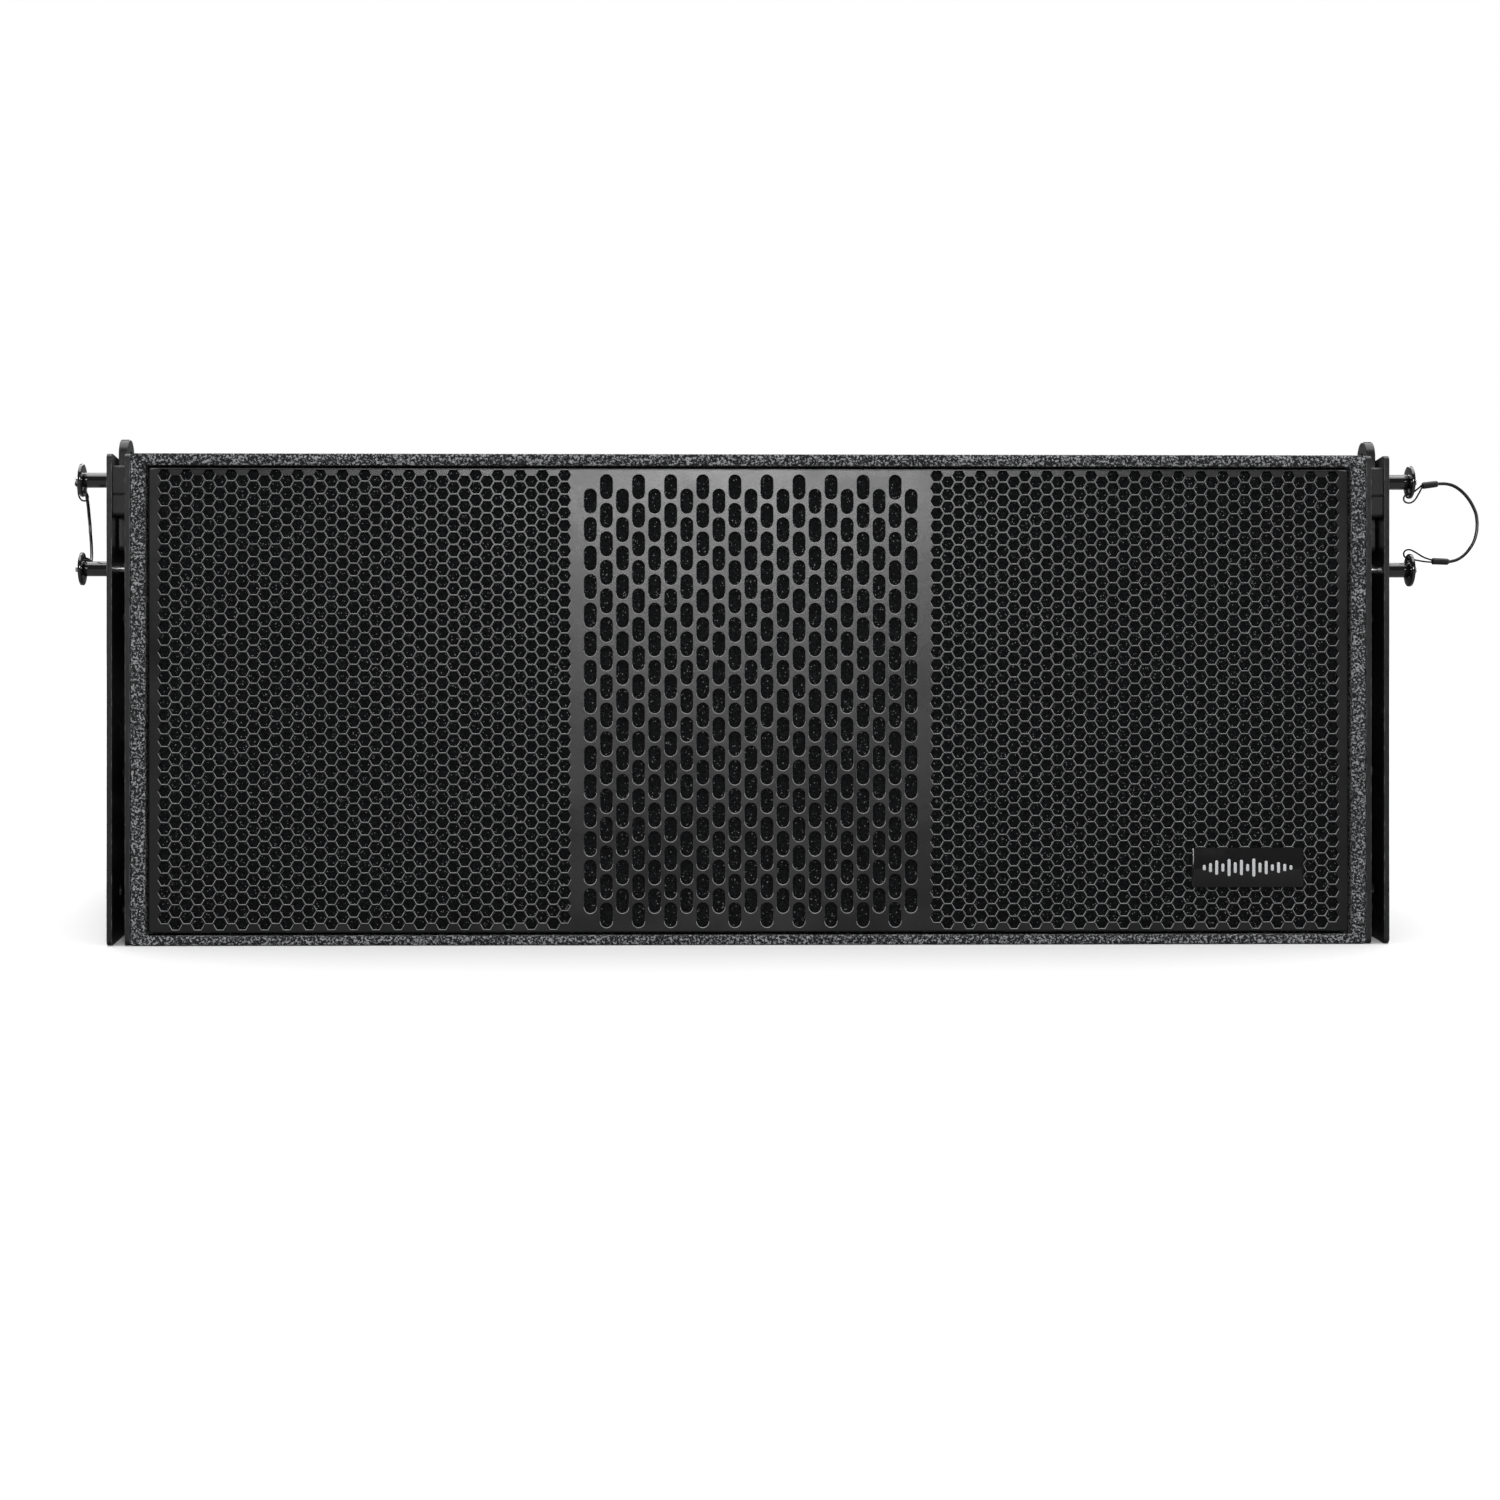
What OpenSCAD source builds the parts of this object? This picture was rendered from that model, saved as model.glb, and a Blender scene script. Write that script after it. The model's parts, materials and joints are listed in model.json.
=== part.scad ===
// Line array loudspeaker: a wedge-shaped plywood cabinet with two woofers and a central waveguide,
// a perforated steel grille, and sliding rigging links between steel plates on both sides.
//
// The design is drawn square to the front face: X to the right, Y from the front face to the back,
// Z up the front face from its lower edge. lean() then tips it back so that the sloping bottom
// panel lies flat, with the origin at the middle of the bottom face. Left is -X.

/* [Cabinet] */
// Width of the plywood cabinet without its rigging plates
cabinet_w = 932; // [900:1:1120]
// Height of the front face
cabinet_h = 370; // [362:1:450]
// Depth of the cabinet, square to the front face
cabinet_d = 450; // [400:1:540]
// Slope of the top and of the bottom panel, in degrees
taper = 5; // [3:0.5:6]
// Thickness of the plywood panels
panel_t = 15; // [13:1:18]
// Chamfer on the two upright front edges
edge_chamfer = 1.2; // [0.5:0.1:2]

/* [Grille] */
// Width of the cabinet edge left and right of the grille
side_lip = 11.3; // [9:0.1:12.5]
// Height of the cabinet edge above the grille
top_lip = 9; // [7:0.5:12]
// Height of the cabinet edge below the grille
bottom_lip = 7.5; // [6:0.5:12]
// Gap between the cabinet edge and the grille
grille_gap = 1.9; // [1:0.1:3]
// How far the grille lies behind the front face
grille_set_back = 1.5; // [0:0.5:4]
// Thickness of the grille steel
grille_t = 1.5; // [1:0.1:2.5]
// Depth of the grille's folded edge
grille_fold = 16; // [12:1:17]
// Width of a slot in the middle of the grille
slot_w = 10; // [7:0.5:10.5]
// Length of a slot
slot_h = 19.6; // [14:0.1:20]
// Distance between slot columns
slot_pitch_x = 12.1; // [11.5:0.1:15]
// Distance between slots in a column
slot_pitch_z = 21.5; // [21:0.1:26]
// Number of slot columns
slot_columns = 21; // [9:2:21]
// Number of slots in the columns that hold one more than their neighbours
slot_rows = 16; // [8:1:16]
// Thickness of the foam behind the grille
foam_t = 8; // [5:1:10]

/* [Badge] */
// Width of the badge plate
badge_w = 85; // [60:1:110]
// Height of the badge plate
badge_h = 30; // [20:1:40]
// Thickness of the badge plate
badge_t = 1.2; // [0.8:0.1:1.5]

/* [Drivers] */
// Outer radius of the woofer frame
woofer_r = 154.5; // [140:0.5:156]
// Gap between the woofer frame and the side panel
woofer_side_gap = 6.5; // [3:0.5:20]
// Distance the cone moves each way from rest
cone_travel = 6; // [3:0.5:7]
// Width of the waveguide's mouth
horn_w = 216; // [180:2:220]
// Height of the waveguide's mouth
horn_h = 296; // [240:2:300]
// Depth of the waveguide behind the baffle
horn_depth = 110; // [80:2:150]

/* [Rigging] */
// Thickness of the steel rigging plates
plate_t = 4; // [3:0.5:6]
// Width of the channel between the inner and the outer plate
channel_w = 9.6; // [9:0.1:14]
// Thickness of the sliding links
link_t = 7; // [5:0.5:8]
// Radius of a link's round end, which is half its width
link_r = 13; // [12:0.5:15]
// Height of the link's hole above the top edge beside it, with the link at rest
link_hole_rise = 2.7; // [0:0.1:8]
// Distance the front links rise
front_lift = 40; // [25:1:45]
// Distance the rear links rise
rear_lift = 80; // [40:1:85]
// Distance from the front face to the front links' middle
front_station = 31; // [30:0.5:45]
// Distance from the rear face to the rear links' middle
rear_station = 45; // [30:0.5:70]

/* [Pins] */
// Radius of the quick-release pins' steel shank
pin_r = 4; // [3:0.25:5]
// Radius of the pins' black barrel
barrel_r = 5.7; // [5.4:0.1:7]
// Length of the barrel outside the outer plate
barrel_len = 23.2; // [15:0.1:30]
// Radius of the disc at the pins' head
disc_r = 12.6; // [12:0.1:14]
// Distance a pin slides out
pin_pull = 30; // [26:1:40]
// Distance from the link's hole down to the upper pin
upper_pin_drop = 18; // [15:0.5:24]
// Distance from the upper pin down to the lower pin
pin_spacing = 67.5; // [66:0.5:90]
// Distance a pin's button is pressed in
button_travel = 2; // [1:0.1:2.4]

/* [Hidden] */
$fn = 64;

// Cut tools reach this far past the faces they open
over = 1;
// Room between a fastener and its hole
bolt_room = 0.2;
// Running room between a pin and its bores
pin_room = 0.08;
// Room between a pin and the link that slides on it
slide_room = 0.4;
// Room kept between pieces that move past each other
move_room = 0.3;

// Cabinet, worked out
half_w = cabinet_w / 2;
inner_w = half_w - panel_t;
slope = tan(taper);
panel_v = panel_t / cos(taper);
floor_d = cabinet_d / cos(taper);
rebate_d = grille_set_back + grille_fold + 2;
baffle_y = 34;
baffle_t = 15;
back_y = cabinet_d - panel_t;
brace_t = 12;
mid_z = cabinet_h / 2;

function top_at(y) = cabinet_h - y * slope;
function bottom_at(y) = y * slope;
function inner_top(y) = top_at(y) - panel_v;
function inner_bottom(y) = bottom_at(y) + panel_v;

// Grille, worked out
grille_half_w = half_w - side_lip - grille_gap;
grille_low = bottom_lip + grille_gap;
grille_high = cabinet_h - top_lip - grille_gap;
grille_corner = 4;
slot_mid = (grille_low + grille_high) / 2 - 0.5;
foam_room = 0.4;

// Badge, placed from the grille's lower right corner
badge_right = 34.5;
badge_up = 33.5;
badge_corner = 2;

// Woofer, worked out from the frame's radius and the baffle
woofer_x = inner_w - woofer_side_gap - woofer_r;
flange_t = 5;
cutout_r = woofer_r - 12;
shell_r = cutout_r - 1;
shell_t = 2.5;
shell_end_r = 80;
shell_end_y = baffle_y + 74;
magnet_r = 78;
top_plate_r = 62;
coil_in = 26;
coil_out = 28;
coil_gap = 1;
cone_t = 1.3;
cone_edge_y = baffle_y - 4;
cone_edge_r = shell_r - 20;
cone_end_y = shell_end_y - 18;
roll_r = 8.5;
roll_t = 1;
spider_y = shell_end_y - 8;

// Waveguide, worked out
horn_wall = 4;
horn_flange = 10;
throat_w = 18;
throat_h = horn_h - 40;
throat_y = baffle_y + horn_depth;
manifold_t = 22;
driver_pitch = 134;
driver_r = 52;
driver_t = 48;

// Rigging, worked out: X positions from the middle of the cabinet outwards
inner_plate_x = half_w;
channel_x = inner_plate_x + plate_t;
outer_plate_x = channel_x + channel_w;
rig_x = outer_plate_x + plate_t;
link_x = channel_x + (channel_w - link_t) / 2;
front_y = front_station;
rear_y = cabinet_d - rear_station;
plate_corner = 4;
pin_hole_r = pin_r + pin_room;
link_slot_r = pin_r + slide_room;
front_hole_z = top_at(front_y) + link_hole_rise;
rear_hole_z = top_at(rear_y) + link_hole_rise;
upper_pin_z = front_hole_z - upper_pin_drop;
lower_pin_z = upper_pin_z - pin_spacing;
rear_pin_z = rear_hole_z - upper_pin_drop;
front_socket_z = front_hole_z + front_lift - cabinet_h;
rear_socket_z = bottom_at(rear_y) + link_hole_rise + rear_lift / 2;
link_foot = 10;

// Bolts through both plates, and the screws that hold the inner plate, as [y, z]
bolt_r = 4;
bolt_head_r = 7;
bolt_head_t = 4.4;
bolt_grip = 10;
bush_r = 10;
bolt_places = [
    [100, mid_z + 100], [100, mid_z - 100], [225, mid_z + 70], [225, mid_z - 70],
    [rear_y - 60, mid_z + 40], [rear_y - 60, mid_z - 50]
];
screw_r = 2.5;
screw_head_r = 5;
screw_head_t = 3;
screw_places = [for (z = [246, 130, 27]) [9, z]];
guide_blocks = [
    // [y, z of the lower end, depth, height]
    [3, upper_pin_z - 14, 12, 23],
    [4, upper_pin_z - 29, 10, 18]
];

// Pins, worked out
tip_room = 5;
pocket_w = 2 * (pin_r + 2);
recess_d = tip_room + 4;
barrel_room = 0.2;
disc_t = 2.5;
disc_x = rig_x + barrel_room + barrel_len;
hub_r = 4.2;
hub_t = 1.5;
button_r = 2.4;
button_bore_r = button_r + 0.15;
button_len = 22;
button_out = 2.6;
eyelet_r = 1.8;
eyelet_at = 8.6;

// Lanyards: points are [outwards, back, up] from the middle of the upper pin's disc
wire_r = 1.25;
wire_sides = 8;
right_upper_route = [
    [22, 0, -1], [28, 0, -1], [34, 0, -2.5], [39.5, 0, -6],
    [44.5, 0, -11], [48.5, 0, -17], [51.5, 0, -24], [52.5, 0, -31]
];
right_lower_route = [
    [52.5, 0, -31], [52, 0, -38], [50, 0, -45], [46.5, 0, -51],
    [42, 0, -56], [36.5, 0, -59.5], [30.5, 0, -61]
];
left_upper_route = [
    [5, 19, -1], [5.5, 25, -1], [5.5, 31, -2.5], [5.5, 36.5, -6],
    [5.5, 41.5, -11], [5.5, 45.5, -17], [5.5, 48.5, -24], [5, 49.5, -31]
];
left_lower_route = [
    [5, 49.5, -31], [4.5, 49, -38], [3.5, 47, -45], [2.5, 43.5, -51],
    [1.5, 39, -56], [0.5, 33.5, -59.5], [0, 27.5, -61]
];
// Where each sleeve's mouth is, from the same point
right_upper_mouth = [10, 0, -2.5];
right_lower_mouth = [17.5, 0, -60.5];
left_upper_mouth = [5, 7, -2];
left_lower_mouth = [0, 15, -60.5];
sleeve_r = 2.6;
// Thin loops through the discs' eyelets: [outwards, back, from the pin's axis towards the eyelet]
loop_r = 0.7;
loop_sides = 8;
right_upper_loop = [
    [10, 0, 1.7], [7, 0, 4.4], [3.5, 0, 7.2], [1.6, 0, 8.4], [0, 0, 8.6], [-1.6, 0, 8.8], [-3.4, 0, 10],
    [-4.4, 0, 12], [-4, 0, 14.2], [-2, 0, 15.6], [1, 0, 15.6], [4, 0, 13.6], [7, 0, 9], [10, 0, 3.3]
];
right_lower_loop = [
    [17.5, 0, 6.2], [12, 0, 6.6], [6, 0, 7.6], [1.6, 0, 8.5], [0, 0, 8.6], [-1.6, 0, 8.8], [-3.4, 0, 10],
    [-4.4, 0, 12], [-4, 0, 14.2], [-2, 0, 15.6], [1, 0, 15.6], [5, 0, 13.6], [11, 0, 10], [17.5, 0, 7.8]
];
left_upper_loop = [
    [5, 7, 1.2], [4.6, 4.6, 5], [3.4, 2, 7.4], [1.6, 0.4, 8.5], [0, 0, 8.6], [-1.6, 0.2, 8.8], [-3.2, 0.4, 10],
    [-4, 1, 12.2], [-3.4, 2, 14.4], [-1, 3.2, 15.4], [2, 4.4, 14.4], [4.2, 5.6, 10.5], [5, 7, 2.8]
];
left_lower_loop = [
    [0.8, 15, 7], [2.2, 12, 7.2], [2.6, 8, 7.6], [2.6, 4, 8.2], [1.6, 0.6, 8.6], [0, 0, 8.6],
    [-1.6, 0.6, 8.6], [-2.6, 4, 8.2], [-2.6, 8, 7.6], [-2.2, 12, 7.2], [-0.8, 15, 7]
];

// Rear panel, worked out
input_w = 150;
input_h = 96;
input_t = 3;
input_z = mid_z + 42;
input_corner = 6;
socket_pitch = 62;
socket_r = 12;
socket_wall = 2;
socket_depth = 24;
socket_flange = 15;
handle_x = 300;
handle_w = 176;
handle_h = 92;
handle_depth = 48;
handle_wall = 3;
handle_rim = 11;
handle_rim_t = 3;
grip_r = 11;
board_z = mid_z - 72;
board_w = 150;
board_h = 84;
board_t = 2;
standoff = 10;
pad_t = 18;

// ---- Shared shapes ----

// Tips the design back so that the bottom panel lies flat
module lean() {
    translate([0, -floor_d / 2, 0])
        rotate([-taper, 0, 0])
            children();
}

// A profile drawn in [y, z], extruded from x0 to x1
module across(x0, x1) {
    translate([x0, 0, 0])
        rotate([90, 0, 90])
            linear_extrude(x1 - x0)
                children();
}

// The right side's shape on the side asked for: 1 is right, -1 is left
module on_side(side) {
    if (side > 0)
        children();
    else
        mirror([1, 0, 0])
            children();
}

// A shape turned so that its Z axis points to the back, at [x, z]
module facing_back(x, z) {
    translate([x, 0, z])
        rotate([-90, 0, 0])
            children();
}

// A cylinder along X from x0 to x1, at [y, z]
module rod(x0, x1, r, y, z) {
    translate([x0, y, z])
        rotate([0, 90, 0])
            cylinder(h = x1 - x0, r = r);
}

function unit(v) = v / norm(v);
function corner_half(a, b, c) = acos(unit(a - b) * unit(c - b)) / 2;
function corner_centre(a, b, c, r) =
    b + unit(unit(a - b) + unit(c - b)) * r / sin(corner_half(a, b, c));

// A convex outline with its corners rounded
module rounded(points, r) {
    n = len(points);
    polygon([
        for (i = [0:n - 1], side = [0, 1])
            let (
                before = points[(i + n - 1) % n],
                here = points[i],
                after = points[(i + 1) % n],
                reach = r / tan(corner_half(before, here, after))
            )
            here + unit((side == 0 ? before : after) - here) * reach
    ]);
    for (i = [0:n - 1])
        translate(corner_centre(points[(i + n - 1) % n], points[i], points[(i + 1) % n], r))
            circle(r);
}

module rounded_box_outline(w, h, r) {
    rounded([[-w / 2, -h / 2], [w / 2, -h / 2], [w / 2, h / 2], [-w / 2, h / 2]], r);
}

// A plate with round corners, square to Y, from y0 to y1, centred at [x, z]
module upright_plate(w, h, r, x, z, y0, y1) {
    translate([x, y1, z])
        rotate([90, 0, 0])
            linear_extrude(y1 - y0)
                rounded_box_outline(w, h, r);
}

// A tube swept along points that lie near one plane; normal is square to that plane, and the
// end faces are square to first and last
function ring_direction(path, i, first, last) =
    i == 0 ? unit(first) : i == len(path) - 1 ? unit(last) : unit(path[i + 1] - path[i - 1]);
module tube(path, r, sides, first, last, normal) {
    points = [
        for (i = [0:len(path) - 1])
            let (
                direction = ring_direction(path, i, first, last),
                u = unit(cross(direction, normal)),
                v = cross(direction, u)
            )
            for (k = [0:sides - 1])
                path[i] + r * (cos(k * 360 / sides) * u + sin(k * 360 / sides) * v)
    ];
    walls = [
        for (i = [0:len(path) - 2], k = [0:sides - 1])
            let (next = (k + 1) % sides)
            [i * sides + next, i * sides + k, (i + 1) * sides + k, (i + 1) * sides + next]
    ];
    first_face = [for (k = [0:sides - 1]) k];
    last_face = [for (k = [sides - 1:-1:0]) (len(path) - 1) * sides + k];
    polyhedron(points = points, faces = concat(walls, [first_face, last_face]), convexity = 4);
}

// ---- Cabinet ----

module side_outline() {
    polygon([[0, 0], [cabinet_d, bottom_at(cabinet_d)], [cabinet_d, top_at(cabinet_d)], [0, cabinet_h]]);
}

// The step in the cabinet's front edge that the grille sits in
module grille_rebate() {
    translate([-(half_w - side_lip), -over, bottom_lip])
        cube([2 * (half_w - side_lip), rebate_d + over, cabinet_h - top_lip - bottom_lip]);
}

module top_panel() color("dimgray") lean() difference() {
    across(-inner_w, inner_w)
        polygon([
            [0, cabinet_h], [0, cabinet_h - panel_v],
            [cabinet_d, inner_top(cabinet_d)], [cabinet_d, top_at(cabinet_d)]
        ]);
    grille_rebate();
}

module bottom_panel() color("dimgray") lean() difference() {
    across(-inner_w, inner_w)
        polygon([
            [0, 0], [0, panel_v],
            [cabinet_d, inner_bottom(cabinet_d)], [cabinet_d, bottom_at(cabinet_d)]
        ]);
    grille_rebate();
}

module side_panel(side) {
    difference() {
        on_side(side)
            difference() {
                across(inner_w, half_w)
                    side_outline();
                translate([half_w, 0, -over])
                    linear_extrude(cabinet_h + 2 * over)
                        polygon([
                            [-edge_chamfer, 0], [-edge_chamfer, -over], [over, -over],
                            [over, edge_chamfer], [0, edge_chamfer]
                        ]);
                for (place = pin_places())
                    across(half_w - recess_d, half_w + over)
                        translate(place)
                            square(pocket_w, center = true);
                for (place = bolt_places)
                    rod(half_w - bolt_grip, half_w + over, bolt_r + bolt_room, place[0], place[1]);
                for (place = screw_places)
                    rod(half_w - bolt_grip, half_w + over, screw_r + bolt_room, place[0], place[1]);
            }
        grille_rebate();
    }
}

module left_side_panel() color("dimgray") lean() side_panel(-1);
module right_side_panel() color("dimgray") lean() side_panel(1);

module back_panel() color("dimgray") lean() difference() {
    across(-inner_w, inner_w)
        polygon([
            [back_y, inner_bottom(back_y)], [cabinet_d, inner_bottom(cabinet_d)],
            [cabinet_d, inner_top(cabinet_d)], [back_y, inner_top(back_y)]
        ]);
    for (x = [-handle_x, handle_x])
        translate([x - handle_w / 2 - bolt_room, back_y - over, mid_z - handle_h / 2 - bolt_room])
            cube([handle_w + 2 * bolt_room, panel_t + 2 * over, handle_h + 2 * bolt_room]);
    translate([-input_w / 2 + input_t * 4, back_y - over, input_z - input_h / 2 + input_t * 4])
        cube([input_w - input_t * 8, panel_t + 2 * over, input_h - input_t * 8]);
}

module baffle() color("saddlebrown") lean() difference() {
    across(-inner_w, inner_w)
        polygon([
            [baffle_y, inner_bottom(baffle_y)], [baffle_y + baffle_t, inner_bottom(baffle_y + baffle_t)],
            [baffle_y + baffle_t, inner_top(baffle_y + baffle_t)], [baffle_y, inner_top(baffle_y)]
        ]);
    for (x = [-woofer_x, woofer_x])
        translate([0, baffle_y - over, 0])
            facing_back(x, mid_z)
                cylinder(h = baffle_t + 2 * over, r = cutout_r);
    translate([-horn_w / 2 - horn_wall - 1, baffle_y - over, mid_z - horn_h / 2 - horn_wall - 1])
        cube([horn_w + 2 * horn_wall + 2, baffle_t + 2 * over, horn_h + 2 * horn_wall + 2]);
}

// Two upright braces from the baffle to the back panel, each with a window
module braces() color("burlywood") lean() {
    brace_y = baffle_y + baffle_t;
    brace_x = horn_w / 2 + horn_flange + horn_wall;
    for (side = [-1, 1])
        on_side(side)
            difference() {
                across(brace_x, brace_x + brace_t)
                    polygon([
                        [brace_y, inner_bottom(brace_y)], [back_y, inner_bottom(back_y)],
                        [back_y, inner_top(back_y)], [brace_y, inner_top(brace_y)]
                    ]);
                across(brace_x - over, brace_x + brace_t + over)
                    rounded([
                        [brace_y + 60, mid_z - 80], [back_y - 60, mid_z - 80],
                        [back_y - 60, mid_z + 80], [brace_y + 60, mid_z + 80]
                    ], 30);
            }
}

// ---- Grille, foam and badge ----

module slot_outline() {
    square([slot_w, slot_h - slot_w], center = true);
    for (end = [-1, 1])
        translate([0, end * (slot_h - slot_w) / 2])
            circle(slot_w / 2);
}

module grille() color([0.16, 0.16, 0.17]) lean() {
    w = 2 * grille_half_w;
    h = grille_high - grille_low;
    z = (grille_low + grille_high) / 2;
    difference() {
        upright_plate(w, h, grille_corner, 0, z, grille_set_back, grille_set_back + grille_fold);
        upright_plate(w - 2 * grille_t, h - 2 * grille_t, grille_corner - grille_t, 0, z,
            grille_set_back + grille_t, grille_set_back + grille_fold + over);
        for (column = [0:slot_columns - 1])
            let (rows = slot_rows - (column + 1) % 2)
            for (row = [0:rows - 1])
                translate([
                    (column - (slot_columns - 1) / 2) * slot_pitch_x,
                    grille_set_back + grille_t + over,
                    slot_mid + (row - (rows - 1) / 2) * slot_pitch_z
                ])
                    rotate([90, 0, 0])
                        linear_extrude(grille_t + 2 * over)
                            slot_outline();
    }
}

module grille_foam() color([0.08, 0.08, 0.08]) lean() {
    inset = 2 * (grille_t + foam_room);
    upright_plate(2 * grille_half_w - inset, grille_high - grille_low - inset, grille_corner - grille_t, 0,
        (grille_low + grille_high) / 2,
        grille_set_back + grille_t + foam_room, grille_set_back + grille_t + foam_room + foam_t);
}

module badge_plate() color([0.05, 0.05, 0.05]) lean() {
    upright_plate(badge_w, badge_h, badge_corner,
        grille_half_w - badge_right - badge_w / 2, grille_low + badge_up + badge_h / 2,
        grille_set_back - badge_t, grille_set_back);
}

// ---- Woofers ----

module basket() {
    windows = 6;
    difference() {
        rotate_extrude()
            polygon([
                [woofer_r, baffle_y - flange_t], [woofer_r, baffle_y], [shell_r, baffle_y],
                [shell_r - 1, baffle_y + 20], [shell_end_r, shell_end_y], [shell_end_r, shell_end_y + shell_t + 1],
                [36, shell_end_y + shell_t + 1], [36, shell_end_y],
                [shell_end_r - shell_t, shell_end_y], [shell_end_r - shell_t, spider_y],
                [shell_end_r + 4, spider_y],
                [shell_r - 1 - shell_t * 1.4, baffle_y + 20], [shell_r - shell_t, baffle_y - flange_t]
            ]);
        for (i = [0:windows - 1])
            rotate([0, 0, (i + 0.5) * 360 / windows])
                translate([shell_end_r + 10, -22, baffle_y + 24])
                    cube([shell_r, 44, 28]);
    }
}

module left_basket() color([0.12, 0.12, 0.13]) lean() facing_back(-woofer_x, mid_z) basket();
module right_basket() color([0.12, 0.12, 0.13]) lean() facing_back(woofer_x, mid_z) basket();

// Top plate, ring magnet, back plate and vented pole piece
module magnet() {
    start = shell_end_y + shell_t + 1;
    rotate_extrude()
        polygon([
            [top_plate_r, start], [top_plate_r, start + 8], [magnet_r, start + 8], [magnet_r, start + 30],
            [top_plate_r, start + 30], [top_plate_r, start + 38], [8, start + 38],
            [8, start], [coil_in - coil_gap, start], [coil_in - coil_gap, start + 30],
            [coil_out + 8, start + 30], [coil_out + 8, start + 8],
            [coil_out + coil_gap, start + 8], [coil_out + coil_gap, start]
        ]);
}

module left_magnet() color([0.25, 0.25, 0.27]) lean() facing_back(-woofer_x, mid_z) magnet();
module right_magnet() color([0.25, 0.25, 0.27]) lean() facing_back(woofer_x, mid_z) magnet();

// Paper cone with its domed dust cap
module cone() {
    cap_r = 36;
    cap_sphere = 52;
    slant = (cone_edge_r - coil_out) / (cone_end_y - cone_edge_y);
    cap_y = cone_edge_y + (cone_edge_r - cap_r) / slant - 2;
    rotate_extrude()
        polygon([
            [cone_edge_r, cone_edge_y], [coil_out, cone_end_y],
            [coil_out - cone_t, cone_end_y], [cone_edge_r - cone_t * 1.6, cone_edge_y]
        ]);
    difference() {
        translate([0, 0, cap_y + sqrt(cap_sphere * cap_sphere - cap_r * cap_r)])
            sphere(cap_sphere);
        translate([0, 0, cap_y + sqrt(cap_sphere * cap_sphere - cap_r * cap_r)])
            sphere(cap_sphere - cone_t);
        translate([0, 0, cap_y])
            cylinder(h = 3 * cap_sphere, r = 2 * cap_sphere);
    }
}

module left_cone() color([0.1, 0.1, 0.1]) lean() facing_back(-woofer_x, mid_z) cone();
module right_cone() color([0.1, 0.1, 0.1]) lean() facing_back(woofer_x, mid_z) cone();

module voice_coil() {
    difference() {
        translate([0, 0, cone_end_y])
            cylinder(h = shell_end_y + shell_t + 11 - cone_end_y, r = coil_out);
        translate([0, 0, cone_end_y - over])
            cylinder(h = 60, r = coil_in);
    }
}

module left_voice_coil() color("peru") lean() facing_back(-woofer_x, mid_z) voice_coil();
module right_voice_coil() color("peru") lean() facing_back(woofer_x, mid_z) voice_coil();

// Half-roll rubber edges on the baskets' flanges
module woofer_surrounds() color([0.06, 0.06, 0.06]) lean() {
    seat_y = baffle_y - flange_t;
    inner_r = cone_edge_r + move_room;
    roll_mid = inner_r + roll_r;
    for (x = [-woofer_x, woofer_x])
        facing_back(x, mid_z)
            rotate_extrude() {
                difference() {
                    translate([roll_mid, seat_y])
                        circle(roll_r);
                    translate([roll_mid, seat_y])
                        circle(roll_r - roll_t);
                    translate([roll_mid - 2 * roll_r, seat_y])
                        square([4 * roll_r, 2 * roll_r]);
                }
                translate([roll_mid + roll_r - roll_t, seat_y - roll_t])
                    square([woofer_r - 4 - roll_mid - roll_r + roll_t, roll_t]);
            }
}

// Corrugated centring discs, a little clear of the moving coils
spider_in = coil_out + 0.5;
spider_out = shell_end_r + 2;
spider_waves = 5;
spider_wave_h = 1.5;
spider_t = 0.8;
spider_steps = 40;
function spider_point(i) = [
    spider_in + (spider_out - spider_in) * i / spider_steps,
    spider_y - spider_t - spider_wave_h * (1 - cos(360 * spider_waves * i / spider_steps)) / 2
];

module woofer_spiders() color("goldenrod") lean() {
    for (x = [-woofer_x, woofer_x])
        facing_back(x, mid_z)
            rotate_extrude()
                polygon(concat(
                    [for (i = [0:spider_steps]) spider_point(i)],
                    [for (i = [spider_steps:-1:0]) spider_point(i) + [0, spider_t]]
                ));
}

// ---- Waveguide and compression drivers ----

module horn_solid(grow) {
    hull() {
        translate([-horn_w / 2 - grow, baffle_y - 1, mid_z - horn_h / 2 - grow])
            cube([horn_w + 2 * grow, 1, horn_h + 2 * grow]);
        translate([-throat_w / 2 - grow, throat_y, mid_z - throat_h / 2 - grow])
            cube([throat_w + 2 * grow, 1, throat_h + 2 * grow]);
    }
}

module waveguide() color([0.1, 0.1, 0.1]) lean() difference() {
    union() {
        upright_plate(horn_w + 2 * horn_wall + 2 * horn_flange, horn_h + 2 * horn_wall + 2 * horn_flange - 8,
            6, 0, mid_z, baffle_y - horn_wall, baffle_y);
        horn_solid(horn_wall);
        translate([-38, throat_y, mid_z - throat_h / 2 - horn_wall])
            cube([76, manifold_t, throat_h + 2 * horn_wall]);
    }
    horn_solid(0);
    translate([-horn_w / 2, baffle_y - horn_wall - over, mid_z - horn_h / 2])
        cube([horn_w, horn_wall + over, horn_h]);
    for (z = [mid_z - driver_pitch / 2, mid_z + driver_pitch / 2])
        translate([0, throat_y - over, 0])
            facing_back(0, z)
                cylinder(h = manifold_t + 2 * over, r = throat_w / 2);
}

module compression_drivers() color([0.2, 0.2, 0.22]) lean() {
    start = throat_y + manifold_t;
    for (z = [mid_z - driver_pitch / 2, mid_z + driver_pitch / 2])
        facing_back(0, z)
            rotate_extrude()
                polygon([
                    [throat_w / 2, start], [36, start], [36, start + 5], [driver_r, start + 8],
                    [driver_r, start + driver_t - 8], [driver_r - 6, start + driver_t], [0, start + driver_t],
                    [0, start + 14], [throat_w / 2, start + 8]
                ]);
}

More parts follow.
